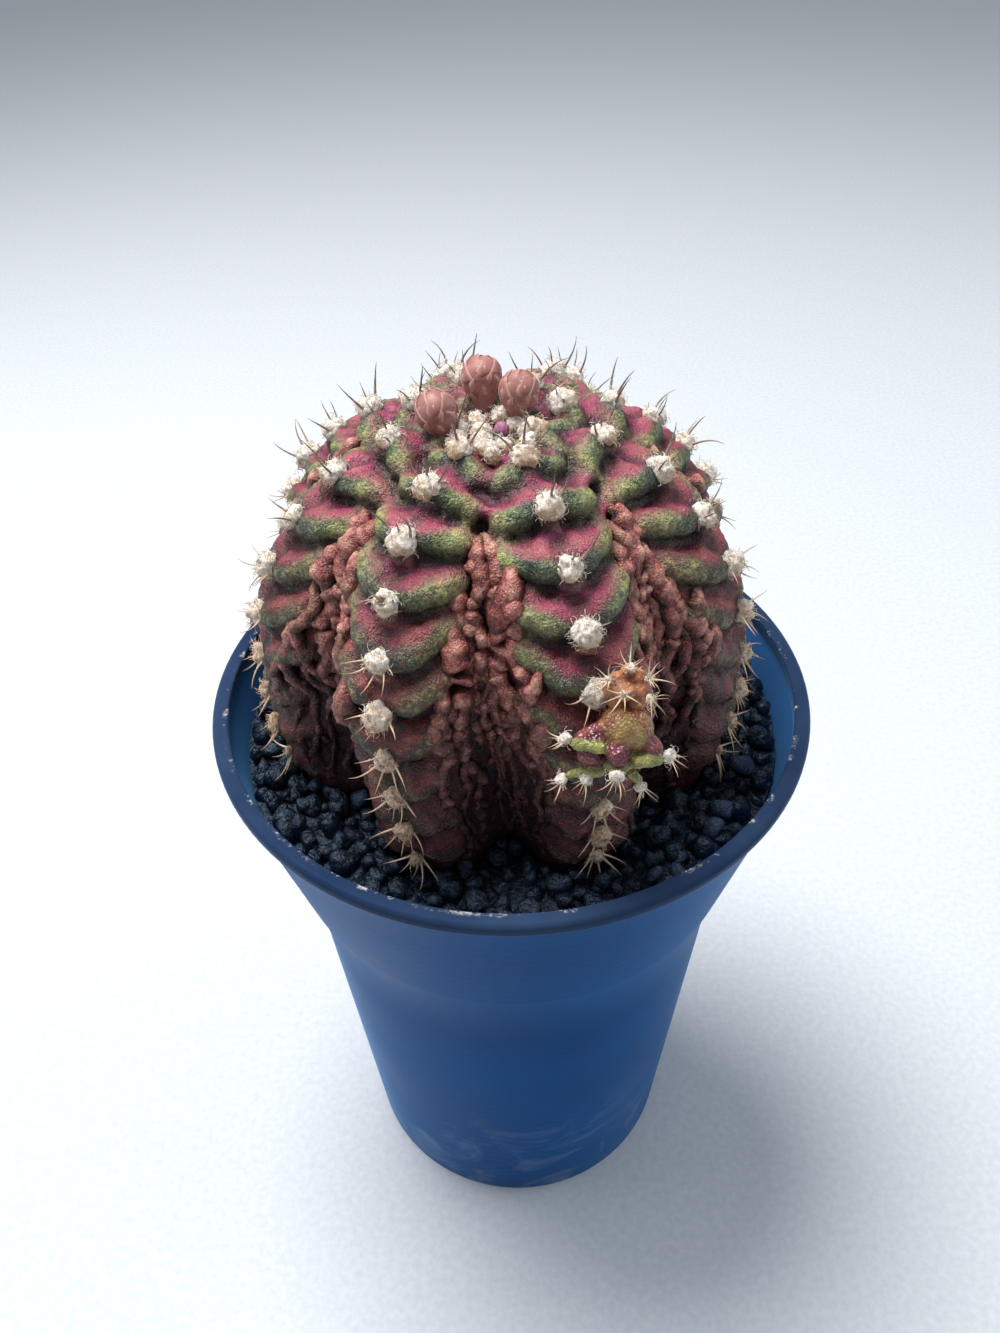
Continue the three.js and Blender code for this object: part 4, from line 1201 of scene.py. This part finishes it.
for step, seat, outward, down, side in areoles():
    young = step < 4
    count = 3 if young else 5
    for number in range(count):
        hand = (number - (count - 1) / 2) / ((count - 1) / 2)
        spread = hand * (0.55 if young else 1.1) + spine_random.uniform(-0.15, 0.15)
        drop = spine_random.uniform(-0.45, 0.3) if young else 0.25 + 0.7 * (1 - abs(hand))
        direction = outward * (1.0 if young else 0.75) + side * spread + down * drop
        length = SPINE_LENGTH * spine_random.uniform(0.75, 1.2) * (1.05 if young else 0.85)
        foot = seat + outward * 0.3 + side * hand * 0.5
        tip = foot + unit(direction) * length
        if math.hypot(tip[0], tip[1]) > RIM_REACH and tip[2] < OVER_THE_RIM:
            continue
        add_spine(foot, direction, length, min(1.0, step / AREOLES_TO_SOIL))
for tip in GREEN_TIPS:
    point, outward, down, side = tip_frame(tip, GREEN_PUP)
    for hand in (-1.1, -0.5, 0.0, 0.5, 1.1):
        direction = outward + side * hand * 0.8 + down * spine_random.uniform(-0.1, 0.6)
        add_spine(point, direction, spine_random.uniform(1.7, 2.7), 0.5)
for tip in DRIED_TIPS:
    point, outward, down, side = tip_frame(tip, DRIED_PUP)
    for turn_about in range(8):
        around = 2 * math.pi * (turn_about + spine_random.random() * 0.6) / 8
        direction = outward * 0.8 + side * math.cos(around) + down * math.sin(around)
        add_spine(point, direction, spine_random.uniform(1.7, 2.9), 0.62)
spines = grow("spines", spine_tree(), spine_places.mesh("spine_places"), Material=spine_finish())
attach(spines, "root")

# %% [markdown]
# ## The flower buds
# Three buds stand at the crown, and a tiny one is only just pushing through the wool. A bud is a ball
# on a short neck, and it is covered all round by overlapping scales, set in a spiral as on a pine cone.
# Each scale is one small shell, made once. A tree puts it on spiral places, so the rows close up by
# themselves towards the tip.

# %% One scale, and the spiral it is set on
BUDS = {"flower_bud_1": ((-6.0, -1.9, 132.4), (-7.3, -1.5, 136.1), 2.35),
        "flower_bud_2": ((-2.2, 4.4, 131.4), (-2.4, 6.2, 136.0), 2.4),
        "flower_bud_3": ((1.3, 2.3, 131.0), (1.7, 2.6, 136.1), 2.3)}
BABY_BUD = ((-0.3, -0.9, 132.0), (-0.3, -1.1, 133.5), 0.85)
BUD_OUTLINE = ((-2.2, 0.46), (-1.4, 0.5), (-1.0, 0.58), (-0.8, 0.7), (-0.5, 0.88), (-0.15, 0.98), (0.2, 0.97),
               (0.55, 0.82), (0.8, 0.58), (0.94, 0.32), (1.0, 0.02))
BUD_SEGMENTS = 20
SCALES_PER_BUD = 17
GOLDEN_TURN = 2.39996
ACROSS, ROWS = 7, 7


def bud_radius(height):
    return float(np.interp(height, *zip(*BUD_OUTLINE)))


def scale_shell():
    """A rounded, pointed shell, one unit long from foot to tip along +Y, bulging to +Z."""
    points, faces = [], []
    for rim in (0.012, -0.012):
        for row in range(ROWS):
            v = row / (ROWS - 1)
            half = 0.66 * (1 - max(0.0, (v - 0.3) / 0.7) ** 1.15) * (0.85 + 0.15 * min(1, v / 0.3)) + 0.01
            for column in range(ACROSS):
                u = 2 * column / (ACROSS - 1) - 1
                bulge = 0.02 * (1 - u * u) + 0.035 * v
                curl = -0.56 * (v - 0.4) ** 2 - 0.56 * (u * half) ** 2
                points.append((u * half, v - 0.4, bulge + curl + rim))
    size = ACROSS * ROWS
    for row in range(ROWS - 1):
        for a in range(row * ACROSS, row * ACROSS + ACROSS - 1):
            faces.append((a, a + 1, a + ACROSS + 1, a + ACROSS))
            faces.append((size + a, size + a + ACROSS, size + a + ACROSS + 1, size + a + 1))
    border = list(range(ACROSS)) + [r * ACROSS + ACROSS - 1 for r in range(1, ROWS)]
    border += [size - 1 - c for c in range(1, ACROSS)] + [r * ACROSS for r in range(ROWS - 2, 0, -1)]
    faces += [(b, a, size + a, size + b) for a, b in zip(border, border[1:] + border[:1])]
    edge = [max(abs(2 * (i % ACROSS) / (ACROSS - 1) - 1) ** 2, ((i % size) // ACROSS / (ROWS - 1)) ** 2)
            for i in range(2 * size)]
    return marked_mesh("bud_scale", np.array(points) / MM, faces=faces, marks={"edge": edge})


def split_places(entry):
    """The points that carry a shape, and the mesh that shows itself."""
    split = wire("GeometryNodeSeparateGeometry", Geometry=entry.Geometry, Selection=number_mark("is_place"),
                 domain="POINT")
    return split, split.out("Inverted")


def bud_tree():
    entry = geometry_tree("bud_scales", Scale_Shell="Object")
    shell = wire("GeometryNodeObjectInfo", Object=entry.Scale_Shell).out("Geometry")
    places, ball = split_places(entry)
    scales = wire("GeometryNodeInstanceOnPoints", Points=places, Instance=shell,
                  Rotation=standing("Y"), Scale=number_mark("size"))
    scales = wire("GeometryNodeRealizeInstances", Geometry=scales)
    return end_tree(shade_smooth(gather("GeometryNodeJoinGeometry", (ball, scales))), entry)


def bud_mesh(name, foot, head, radius):
    """The ball on its neck, and the places of its scales from the neck to the tip."""
    axis = unit(np.subtract(head, foot))
    side = unit(np.cross(axis, (0, 1, 0.2)))
    front = np.cross(axis, side)
    heart = np.array(head)
    laid = Places()
    for height, wide in BUD_OUTLINE[:-1]:
        for cosine, sine in circle(BUD_SEGMENTS):
            out = side * cosine + front * sine
            point = heart + axis * height * radius + out * wide * radius * 0.95
            laid.add(point, out, axis, is_place=0.0, size=0.0, edge=0.0)
    top = (len(BUD_OUTLINE) - 2) * BUD_SEGMENTS
    faces = []
    for low in range(0, top, BUD_SEGMENTS):
        faces += band(low, low + BUD_SEGMENTS, BUD_SEGMENTS)
    faces += [tuple(range(BUD_SEGMENTS - 1, -1, -1)), tuple(range(top, top + BUD_SEGMENTS))]
    for number in range(SCALES_PER_BUD):
        t = number / (SCALES_PER_BUD - 1)
        height = -0.75 + 1.5 * t ** 0.9
        a = number * GOLDEN_TURN
        out = side * math.cos(a) + front * math.sin(a)
        slope = (bud_radius(height + 0.05) - bud_radius(height - 0.05)) / 0.1
        up = unit(axis + out * slope)
        facing = unit(np.cross(up, np.cross(out, up)))
        point = heart + axis * height * radius + out * bud_radius(height) * radius * 0.93
        size = radius * (0.95 + 0.25 * math.sin(math.pi * t))
        laid.add(point, facing, up, is_place=1.0, size=size * MM, edge=0.0)
    return marked_mesh(name, laid.points, faces=faces, marks=laid.marks)


def bud_finish(name, dark, light, rim):
    made, place = finish_tree(name)
    edge, = marks_of("edge")
    cloud = noise(place, 1.6, 3, 0.6)
    fine = noise(place, 0.25, 3, 0.6)
    colour = mix(stretch(cloud, 0.3, 0.7), dark, light)
    colour = mix(stretch(edge, 0.55, 1.0, 0.0, 0.55), colour, rim)
    return dress(made, colour, stretch(fine, 0.3, 0.7, 0.42, 0.56), Normal=bump(fine, 0.05, 0.5))


# %% Set the scales on the buds
shell = put("bud_scale", scale_shell())
set_scales = bud_tree()
bud_skin = bud_finish("bud_skin", (142, 88, 86), (172, 120, 110), (214, 172, 158))
for node, sizes in BUDS.items():
    bud = grow(node.replace("flower_", ""), set_scales, bud_mesh(node + "_ball", *sizes), Scale_Shell=shell,
               Material=bud_skin)
    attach(bud, "root")
    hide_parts(node)
baby_skin = bud_finish("baby_skin", (150, 84, 120), (182, 122, 158), (206, 160, 184))
baby = grow("bud_baby", set_scales, bud_mesh("baby_ball", *BABY_BUD), Scale_Shell=shell, Material=baby_skin)
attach(baby, "root")
bpy.data.objects.remove(shell)

# %% [markdown]
# ## The pups
# A pup is a small copy of the plant: a dome, a few fat tubercles that end in a tip of wool, and short
# rolls between them. They are grown by the same fusing tree as the body, only finer. The lower one is
# fresh and glossy, olive with maroon shoulders and lime rolls. The upper one has dried out and is brown.

# %% The green pup
CORE_RINGS, CORE_SEGMENTS = 13, 22
PUP_VOXEL = 0.0002


def ball_core(name, centre, radii):
    """A round core for a pup, a grid from pole to pole."""
    wide, deep, high = radii
    points = [np.add(centre, (0, 0, high))]
    for r in range(1, CORE_RINGS + 1):
        polar = math.pi * r / (CORE_RINGS + 1)
        out, up = math.sin(polar), high * math.cos(polar)
        for cosine, sine in circle(CORE_SEGMENTS):
            points.append(np.add(centre, (wide * out * cosine, deep * out * sine, up)))
    points.append(np.add(centre, (0, 0, -high)))
    return marked_mesh(name, points, faces=closed_faces(CORE_RINGS, CORE_SEGMENTS),
                       marks={label: [0.0] * len(points) for label in MARKS})


def limb(bundle, start, end, girths, **marks):
    """A swollen line from one point to another, with ends as round as it is thick."""
    start, end = np.array(start, float), np.array(end, float)
    heel, toe = start - unit(end - start) * girths[0] * 0.5, end + unit(end - start) * girths[-1] * 0.5
    t = np.linspace(0, 1, 16)
    line = np.outer(1 - t, heel) + np.outer(t, toe)
    whole = float(np.linalg.norm(toe - heel))
    girth = np.interp(t, np.linspace(0, 1, len(girths)), girths)
    girth = girth * rounded(t, min(0.5, girths[0] / whole), min(0.5, girths[-1] / whole))
    bundle.add(line, girth, along=t, **marks)


green = Bundle()
GREEN_HEART = np.array((11.3, -29.7, 115.7))
RIGHT_ARM, LEFT_ARM = (14.6, -31.4, 113.8), (6.2, -30.8, 115.2)
for arm in (LEFT_ARM, RIGHT_ARM):
    limb(green, GREEN_HEART, arm, (2.0, 1.5, 0.9), wart=1.0)
for start, end, girth in (((8.9, -32.2, 115.4), (5.9, -31.4, 115.4), 0.72),
                          ((11.9, -32.9, 114.0), (14.8, -32.0, 113.4), 0.78),
                          ((9.0, -32.0, 111.9), (7.3, -32.0, 111.6), 0.68),
                          ((7.4, -31.6, 111.7), (5.3, -31.6, 111.0), 0.55),
                          ((11.7, -31.8, 111.6), (12.7, -32.6, 110.8), 0.6),
                          ((9.2, -32.2, 113.3), (10.1, -33.3, 112.8), 0.62),
                          ((10.1, -33.3, 112.8), (11.4, -32.6, 113.3), 0.62)):
    limb(green, start, end, (girth, girth * 0.92), roll=1.0)
limb(green, (8.4, -31.2, 113.6), (6.8, -30.8, 113.2), (1.3, 1.1), wart=0.8)
limb(green, (10.4, -31.7, 115.3), (10.3, -32.9, 114.2), (1.3, 1.2), chin=1.0)
limb(green, (10.2, -30.4, 113.2), (9.6, -30.6, 111.4), (2.2, 1.6), wart=0.7)
limb(green, (10.2, -26.2, 113.5), (10.6, -29.0, 114.5), (2.0, 2.2), wart=0.6)


def pup_finish(name, gloss, dome, shoulder, roll_shades, tubercle):
    """Each part has a dark and a light shade, mixed by the same cloud."""
    made, place = finish_tree(name)
    roll, wart, chin, ridge = marks_of("roll wart chin ridge")
    cloud = noise(place, 1.7, 4, 0.6)
    fine = noise(place, 0.3, 3, 0.65)
    share = stretch(cloud, 0.35, 0.65)
    colour = mix(share, *dome)
    for value, shades in ((wart, shoulder), (roll, roll_shades), (chin, tubercle)):
        colour = mix(stretch(value, 0.3, 0.7), colour, mix(share, *shades))
    # Painted shade in the creases and a painted highlight on the ridges, multiplied over the colour.
    shade = ramp(stretch(ridge, -0.3, 0.25), (0.0, 0.16, 0.1, 0.1, 1), (0.5, 0.8, 0.76, 0.76, 1),
                 (1.0, 1.15, 1.12, 1.08, 1))
    rough = bump(fine, 0.12, 0.5, Normal=bump(cells(place, 0.34), 0.16, 1.0))
    return dress(made, mix(1.0, colour, shade, "MULTIPLY"), stretch(fine, 0.3, 0.7, gloss, gloss + 0.18),
                 Normal=rough, Specular_IOR_Level=0.7)


green_skin = pup_finish("green_pup_skin", 0.16,
                        ((126, 62, 50), (172, 146, 82)), ((100, 36, 54), (146, 80, 76)),
                        ((112, 116, 58), (170, 170, 98)), ((92, 32, 50), (134, 62, 72)))
green_pup = fused("pup_green", green, ball_core("green_core", GREEN_HEART, (2.9, 2.7, 2.7)), Voxel=PUP_VOXEL,
                  Lump_Height=0.0003, Material=green_skin)
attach(green_pup, "root")
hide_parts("green_pup")

# %% The dried pup
dried = Bundle()
for knob, girth in (((11.0, -29.1, 120.0), 1.25), ((9.4, -28.2, 119.8), 0.95), ((13.0, -28.4, 119.6), 1.0),
                    ((12.7, -27.3, 120.7), 0.85), ((10.2, -27.6, 120.9), 0.85), ((11.5, -26.9, 121.1), 0.8),
                    ((12.4, -29.2, 118.0), 1.0), ((10.0, -29.0, 118.2), 0.95)):
    limb(dried, DRIED_PUP, knob, (0.7, girth), roll=0.6, chin=1.0)
limb(dried, (11.2, -25.4, 118.4), (11.7, -27.0, 119.0), (1.3, 1.5), wart=1.0)
dried_skin = pup_finish("dried_pup_skin", 0.42,
                        ((58, 30, 20), (92, 52, 34)), ((58, 32, 24), (88, 50, 34)),
                        ((136, 84, 52), (190, 132, 88)), ((146, 86, 50), (206, 142, 94)))
dried_pup = fused("pup_dried", dried, ball_core("dried_core", DRIED_PUP, (1.6, 1.4, 1.3)), Voxel=PUP_VOXEL,
                  Material=dried_skin)
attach(dried_pup, "root")
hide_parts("dried_pup")

# %% [markdown]
# ## The grit
# The top dressing is crushed black stone, a little blunted and glinting. A chip is the hull of random
# points on a ball, rounded once, so it keeps its corners but not their sharpness. Eight different hulls
# are made inside the tree, and picked, turned and sized at random over a dark bed that closes the gaps.

# %% The bed and the places of the chips
GRIT_LEVEL = 88.6
BED_SEGMENTS = 144
# Each ring of the bed: its share of the way from the plant to the pot's wall, and its height.
BED_RINGS = ((1.0, 80.7), (1.0, 85.0), (1.0, GRIT_LEVEL - 0.4), (0.66, GRIT_LEVEL), (0.33, GRIT_LEVEL),
             (0.0, GRIT_LEVEL - 0.4), (0.0, 85.0), (0.0, 80.7))
CHIPS = 430
GRIT_REACH = 36
BED_INSET, CHIP_INSET = 1.35, 1.25
FOOT_RADIUS = 25.7
KNEE_START, KNEE_START_RADIUS = 56, 29.8
KNEE_END, KNEE_END_RADIUS = 69.8, 32.4
FLARE = 0.24
LIP_BOTTOM = 93.5
grit_random = random.Random(5)
edge_points = np.array([on_flank(index, side, share, AREOLES_TO_SOIL)[0] for index in range(len(RIBS))
                        for side in (-1, 1) for share in np.linspace(0, 1, 8)])
turns = np.degrees(np.arctan2(edge_points[:, 0] - PLANT_X, -edge_points[:, 1])) % 360
order = np.argsort(turns)
EDGE_TURNS = np.concatenate([turns[order] - 360, turns[order], turns[order] + 360])
EDGE_REACHES = np.tile(np.hypot(edge_points[:, 0] - PLANT_X, edge_points[:, 1])[order], 3)


def body_edge(azimuth):
    """The body's outline at the soil, as a distance from its axis."""
    return float(np.interp(azimuth % 360, EDGE_TURNS, EDGE_REACHES))


def pot_radius(z):
    """The outside of the pot's wall: a taper, a soft knee and a flare up to the lip."""
    if z < KNEE_START:
        return FOOT_RADIUS + (KNEE_START_RADIUS - FOOT_RADIUS) * z / KNEE_START
    if z < KNEE_END:
        t = (z - KNEE_START) / (KNEE_END - KNEE_START)
        return KNEE_START_RADIUS + (KNEE_END_RADIUS - KNEE_START_RADIUS) * (0.45 * t + 0.55 * t * t)
    return KNEE_END_RADIUS + (z - KNEE_END) * FLARE


def grit_bed():
    points, faces = [], []
    for number, (share, height) in enumerate(BED_RINGS):
        for i in range(BED_SEGMENTS):
            azimuth = 360 * i / BED_SEGMENTS
            turn = math.radians(azimuth)
            outward = np.array([math.sin(turn), -math.cos(turn), 0])
            outer = outward * (pot_radius(height) - BED_INSET)
            inner = np.array([PLANT_X, 0, 0]) + outward * (body_edge(azimuth) + 0.3)
            lift = grit_random.uniform(-0.3, 0.3) if 0 < share < 1 else 0.0
            points.append(outer * share + inner * (1 - share) + np.array([0, 0, height + lift]))
        following = (number + 1) % len(BED_RINGS)
        faces += band(number * BED_SEGMENTS, following * BED_SEGMENTS, BED_SEGMENTS)
    return points, faces


def chip_places():
    """Where the chips lie, apart from one another and from the wall, a little higher at the plant."""
    places = []
    while len(places) < CHIPS:
        reach, azimuth = math.sqrt(grit_random.random()) * GRIT_REACH, grit_random.uniform(0, 360)
        turn = math.radians(azimuth)
        x, y = reach * math.sin(turn), -reach * math.cos(turn)
        from_plant = math.hypot(x - PLANT_X, y)
        edge = body_edge(math.degrees(math.atan2(x - PLANT_X, -y)))
        size = grit_random.uniform(1.4, 2.7)
        if from_plant < edge + 0.45 * size or reach > pot_radius(90) - CHIP_INSET - size * 0.92:
            continue
        if any((x - p[0]) ** 2 + (y - p[1]) ** 2 < (0.62 * (size + p[3])) ** 2 for p in places[-260:]):
            continue
        near_plant = 1.2 * math.exp(-(from_plant - edge) / 2.5)
        places.append((x, y, GRIT_LEVEL + grit_random.uniform(-0.6, 1.3) + near_plant * 0.3, size))
    return places


# %% The tree that scatters the chips
def grit_tree():
    entry = geometry_tree("grit_chips", Seed=2, Corners=15, Flatness=0.8)
    chips = []
    for number in range(8):
        corners = random_value((-1, -1, -1), (1, 1, 1), entry.Seed + float(number), "FLOAT_VECTOR")
        points = wire("GeometryNodePoints", Count=entry.Corners)
        points = wire("GeometryNodeSetPosition", Geometry=points, Position=vector_maths("NORMALIZE", corners))
        chip = wire("GeometryNodeConvexHull", Geometry=points)
        chip = wire("GeometryNodeSubdivisionSurface", Mesh=chip, Level=1, Edge_Crease=0.45)
        chips.append(shade_smooth(chip))
    places, bed = split_places(entry)
    spin = random_value((0, 0, 0), (6.28, 6.28, 6.28), entry.Seed, "FLOAT_VECTOR")
    size = number_mark("size")
    laid = wire("GeometryNodeInstanceOnPoints", Points=places, Pick_Instance=True,
                Instance=gather("GeometryNodeGeometryToInstance", chips),
                Instance_Index=random_value(0, len(chips) - 1, entry.Seed, "INT"),
                Rotation=wire("FunctionNodeEulerToRotation", Euler=spin),
                Scale=wire("ShaderNodeCombineXYZ", size, size * 0.85, size * entry.Flatness))
    laid = store(laid, "tone", random_value(0.0, 1.0, 9, "FLOAT"), "INSTANCE")
    laid = wire("GeometryNodeRealizeInstances", Geometry=laid)
    return end_tree(gather("GeometryNodeJoinGeometry", (bed, laid)), entry)


def grit_finish():
    made, place = finish_tree("black_grit")
    tone, = marks_of("tone")
    cloud = noise(place, 1.1, 4, 0.65)
    fine = noise(place, 0.22, 3, 0.7)
    colour = coats(mix(stretch(cloud, 0.35, 0.7), (5, 8, 14), (18, 25, 38)),
                   (stretch(tone, 0.93, 0.97, 0.0, 0.6), (66, 82, 106)),
                   (stretch(fine, 0.58, 0.74) * 0.35, (120, 134, 156)))
    rough = bump(fine, 0.12, 0.6, Normal=bump(cloud, 0.7, 0.9))
    return dress(made, colour, stretch(cloud, 0.3, 0.7, 0.16, 0.42), Normal=rough, Specular_IOR_Level=0.85,
                 Specular_Tint=tint(180, 208, 240))


# %% Lay the grit
bed_points, bed_faces = grit_bed()
places = chip_places()
grit_marks = {"is_place": [0.0] * len(bed_points) + [1.0] * len(places),
              "size": [0.0] * len(bed_points) + [p[3] * MM for p in places]}
grit_points = bed_points + [p[:3] for p in places]
grit_mesh = marked_mesh("grit_places", grit_points, faces=bed_faces, marks=grit_marks)
grit = grow("grit_chips", grit_tree(), grit_mesh, Material=grit_finish())
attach(grit, "root")
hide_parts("grit")

# %% [markdown]
# ## The pot
# The pot is moulded thin from blue plastic: a long taper, a soft knee, a flare and a rolled lip. It is a
# turned shape, so its outline is drawn once, its corners are rounded, and it is swept about the axis.
# The drain holes in its foot are cut with a Boolean. The finish is satin, with chalky dust near the
# foot, faint moulding rings, a darker lip with pale flecks along its inner edge, and painted light that
# lifts the shaded inside of the wall to a lighter blue.

# %% Turn the pot
POT_HEIGHT, RIM_RADIUS = 95.4, 39.0
LIP_TOP_WIDTH = 2.1
WALL = 1.0
FLOOR_UNDER, FLOOR_TOP = 1.8, 3.0
POT_SEGMENTS = 144
MIDDLE_DRAIN, OUTER_DRAIN, DRAIN_CIRCLE = 4.0, 2.5, 14
ROD_SIDES, ROD_ENDS = 32, (-2, 6)


def eased(points, rounding):
    """The outline with each inner corner replaced by a short curve."""
    path = [np.array(points[0], float)]
    for before, corner, after in zip(points, points[1:], points[2:]):
        before, corner, after = (np.array(p, float) for p in (before, corner, after))
        back, on = before - corner, after - corner
        cut = min(rounding, 0.45 * np.linalg.norm(back), 0.45 * np.linalg.norm(on))
        start, end = corner + unit(back) * cut, corner + unit(on) * cut
        for t in (0, 0.25, 0.5, 0.75, 1):
            path.append((1 - t) ** 2 * start + 2 * t * (1 - t) * corner + t * t * end)
    path.append(np.array(points[-1], float))
    return path


def pot_outline():
    heights = list(np.linspace(0, KNEE_START, 8)) + list(np.linspace(58, KNEE_END, 7)) + [78, 86, LIP_BOTTOM]
    outer = [(pot_radius(z), z) for z in heights]
    lip = [(RIM_RADIUS - 0.15, LIP_BOTTOM + 0.1), (RIM_RADIUS, LIP_BOTTOM + 0.5),
           (RIM_RADIUS, POT_HEIGHT - 0.5), (RIM_RADIUS - 0.5, POT_HEIGHT),
           (RIM_RADIUS - LIP_TOP_WIDTH, POT_HEIGHT - 0.1)]
    inner = [(pot_radius(z) - WALL, z) for z in reversed(heights) if z > FLOOR_TOP + 0.2]
    inner[0] = (pot_radius(LIP_BOTTOM) - WALL, LIP_BOTTOM - 0.6)
    foot = [(0, FLOOR_UNDER), (23.2, FLOOR_UNDER), (23.5, 0)]
    inside = [(pot_radius(FLOOR_TOP) - WALL, FLOOR_TOP), (0, FLOOR_TOP)]
    return eased(foot + outer + lip + inner + inside, 0.35)


def turned_pot():
    outline = pot_outline()
    points, faces = [(0, 0, outline[0][1])], []
    rings = outline[1:-1]
    for radius, height in rings:
        points += [(radius * cosine, radius * sine, height) for cosine, sine in circle(POT_SEGMENTS)]
    points.append((0, 0, outline[-1][1]))
    low, last = 1 + (len(rings) - 1) * POT_SEGMENTS, len(points) - 1
    for i in range(POT_SEGMENTS):
        j = (i + 1) % POT_SEGMENTS
        faces.append((0, 1 + j, 1 + i))
        for a in range(1, low, POT_SEGMENTS):
            b = a + POT_SEGMENTS
            faces.append((a + i, a + j, b + j, b + i))
        faces.append((last, low + i, low + j))
    return marked_mesh("pot_blank", points, faces=faces)


def drain_rods():
    """A plain rod for each drain hole, one in the middle and six around it."""
    around = [(DRAIN_CIRCLE * cosine, DRAIN_CIRCLE * sine) for cosine, sine in circle(6)]
    drains = [(MIDDLE_DRAIN, 0.0, 0.0)] + [(OUTER_DRAIN, x, y) for x, y in around]
    points, faces = [], []
    for radius, x, y in drains:
        first, middle = len(points), len(points) + ROD_SIDES
        points += [(x + radius * cosine, y + radius * sine, z) for z in ROD_ENDS
                   for cosine, sine in circle(ROD_SIDES)]
        faces += band(first, middle, ROD_SIDES)
        faces += [tuple(range(middle - 1, first - 1, -1)), tuple(range(middle, middle + ROD_SIDES))]
    return marked_mesh("drain_rods", points, faces=faces)


def pot_finish():
    made, place = finish_tree("blue_plastic")
    x = wire("ShaderNodeSeparateXYZ", place)
    height = x.out("Z")
    radius = vector_maths("LENGTH", wire("ShaderNodeCombineXYZ", x, x.out("Y")))
    cloud = noise(place, 22, 4, 0.6)
    grain = noise(place, 0.5, 3, 0.6)
    lip_flecks = noise(place, 3.0, 5, 0.8)
    smear = wire("ShaderNodeTexNoise", Vector=vector_maths("ADD", place, (0.031, 0.0, 0.012)), Scale=80.0,
                 Detail=5.0, Roughness=0.65, Distortion=1.2)
    share = stretch(cloud, 0.3, 0.7)
    dust = stretch(smear, 0.5, 0.72) * stretch(height, 0.004, 0.034, 1.0, 0.0) * 0.5
    # Painted light: the inside of the wall, which lies in shade, is lifted to a lighter blue.
    inside = stretch(radius - height * FLARE, 0.0149, 0.0153, 0.7, 0.0) * stretch(height, 0.05, 0.07)
    # Pale flecks along the lip's inner edge.
    inner_edge = stretch(radius, 0.0377, 0.0372) * stretch(height, 0.0949, 0.0952)
    colour = coats(mix(share, (4, 58, 114), (9, 72, 132)),
                   (dust, (150, 164, 184)),
                   (inside, (62, 112, 172)),
                   (stretch(height, 0.0933, 0.0936), mix(share, (30, 46, 76), (50, 68, 96))),
                   (inner_edge * stretch(lip_flecks, 0.56, 0.64, 0.0, 0.85), (206, 204, 200)))
    rings = wire("ShaderNodeTexWave", Vector=place, Scale=160.0, Distortion=1.5, Detail=2.0,
                 bands_direction="Z")
    rough = bump(grain, 0.05, 0.35, Normal=bump(rings, 0.02, 0.25))
    return dress(made, colour, stretch(cloud, 0.3, 0.7, 0.36, 0.48) + dust * 0.5, Normal=rough,
                 Specular_IOR_Level=0.05, Specular_Tint=tint(84, 160, 236), Sheen_Weight=0.3,
                 Sheen_Roughness=0.35, Sheen_Tint=tint(120, 190, 250))


blue_plastic = pot_finish()
blank, rods = put("pot_blank", turned_pot()), put("drain_rods", drain_rods())
cut = blank.modifiers.new("drains", "BOOLEAN")
cut.object, cut.operation, cut.solver = rods, "DIFFERENCE", "EXACT"
pot_mesh = baked(blank)
pot_mesh.name = "nursery_pot"
bpy.data.objects.remove(rods)
pot_mesh.materials.clear()
pot_mesh.materials.append(blue_plastic)
pot_mesh.shade_smooth()
pot_mesh.set_sharp_from_angle(angle=math.radians(40))
pot = put("nursery_pot", pot_mesh)
print("nursery_pot has", len(pot_mesh.polygons), "faces")
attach(pot, "root")
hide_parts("pot")

# %% [markdown]
# ## Potting mix and root
# The mix shows only through the drain holes, so its solid keeps its shape and gets a crumbly brown
# finish. The buried foot of the plant narrows into a short corky taproot, swept along a curve.

# %% Finish the mix, and grow the root
ROOT_TIP, ROOT_TOP, ROOT_POINTS = 66.3, 83, 24
ROOT_EDGES = [(i, i + 1) for i in range(ROOT_POINTS - 1)]
ROOT_GIRTHS = ((66, 67, 75, 80, 83), (0.4, 1.6, 3.1, 3.8, 4.2))


def mix_finish():
    made, place = finish_tree("potting_soil")
    crumbs = cells(place, 1.6)
    fine = noise(place, 0.5, 4, 0.7)
    colour = mix(stretch(fine, 0.3, 0.7), (34, 24, 18), (74, 54, 40))
    colour = mix(stretch(crumbs, 0.0, 0.5, 0.35, 0.0), colour, (110, 88, 66))
    return dress(made, colour, stretch(fine, 0.3, 0.7, 0.8, 1.0), Normal=bump(crumbs, 0.8, 0.8))


def root_tree():
    entry = geometry_tree("taproot", Sides=18, Knobs=0.0006)
    path = wire("GeometryNodeMeshToCurve", Mesh=entry.Geometry)
    corky = wire("ShaderNodeTexNoise", Vector=spot(), Scale=700.0, Detail=3.0)
    root = push_out(sweep(path, number_mark("girth"), entry.Sides), (corky - 0.6) * entry.Knobs)
    return end_tree(shade_smooth(root), entry)


soil = mix_finish()
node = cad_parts["potting_mix"]
node.data.materials.clear()
node.data.materials.append(soil)
heights = np.linspace(ROOT_TIP, ROOT_TOP, ROOT_POINTS)
root_line = marked_mesh("root_line", [(PLANT_X, 0, z) for z in heights], ROOT_EDGES,
                        marks={"girth": np.interp(heights, *ROOT_GIRTHS) * MM})
taproot = grow("taproot", root_tree(), root_line, Material=soil)
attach(taproot, "root")
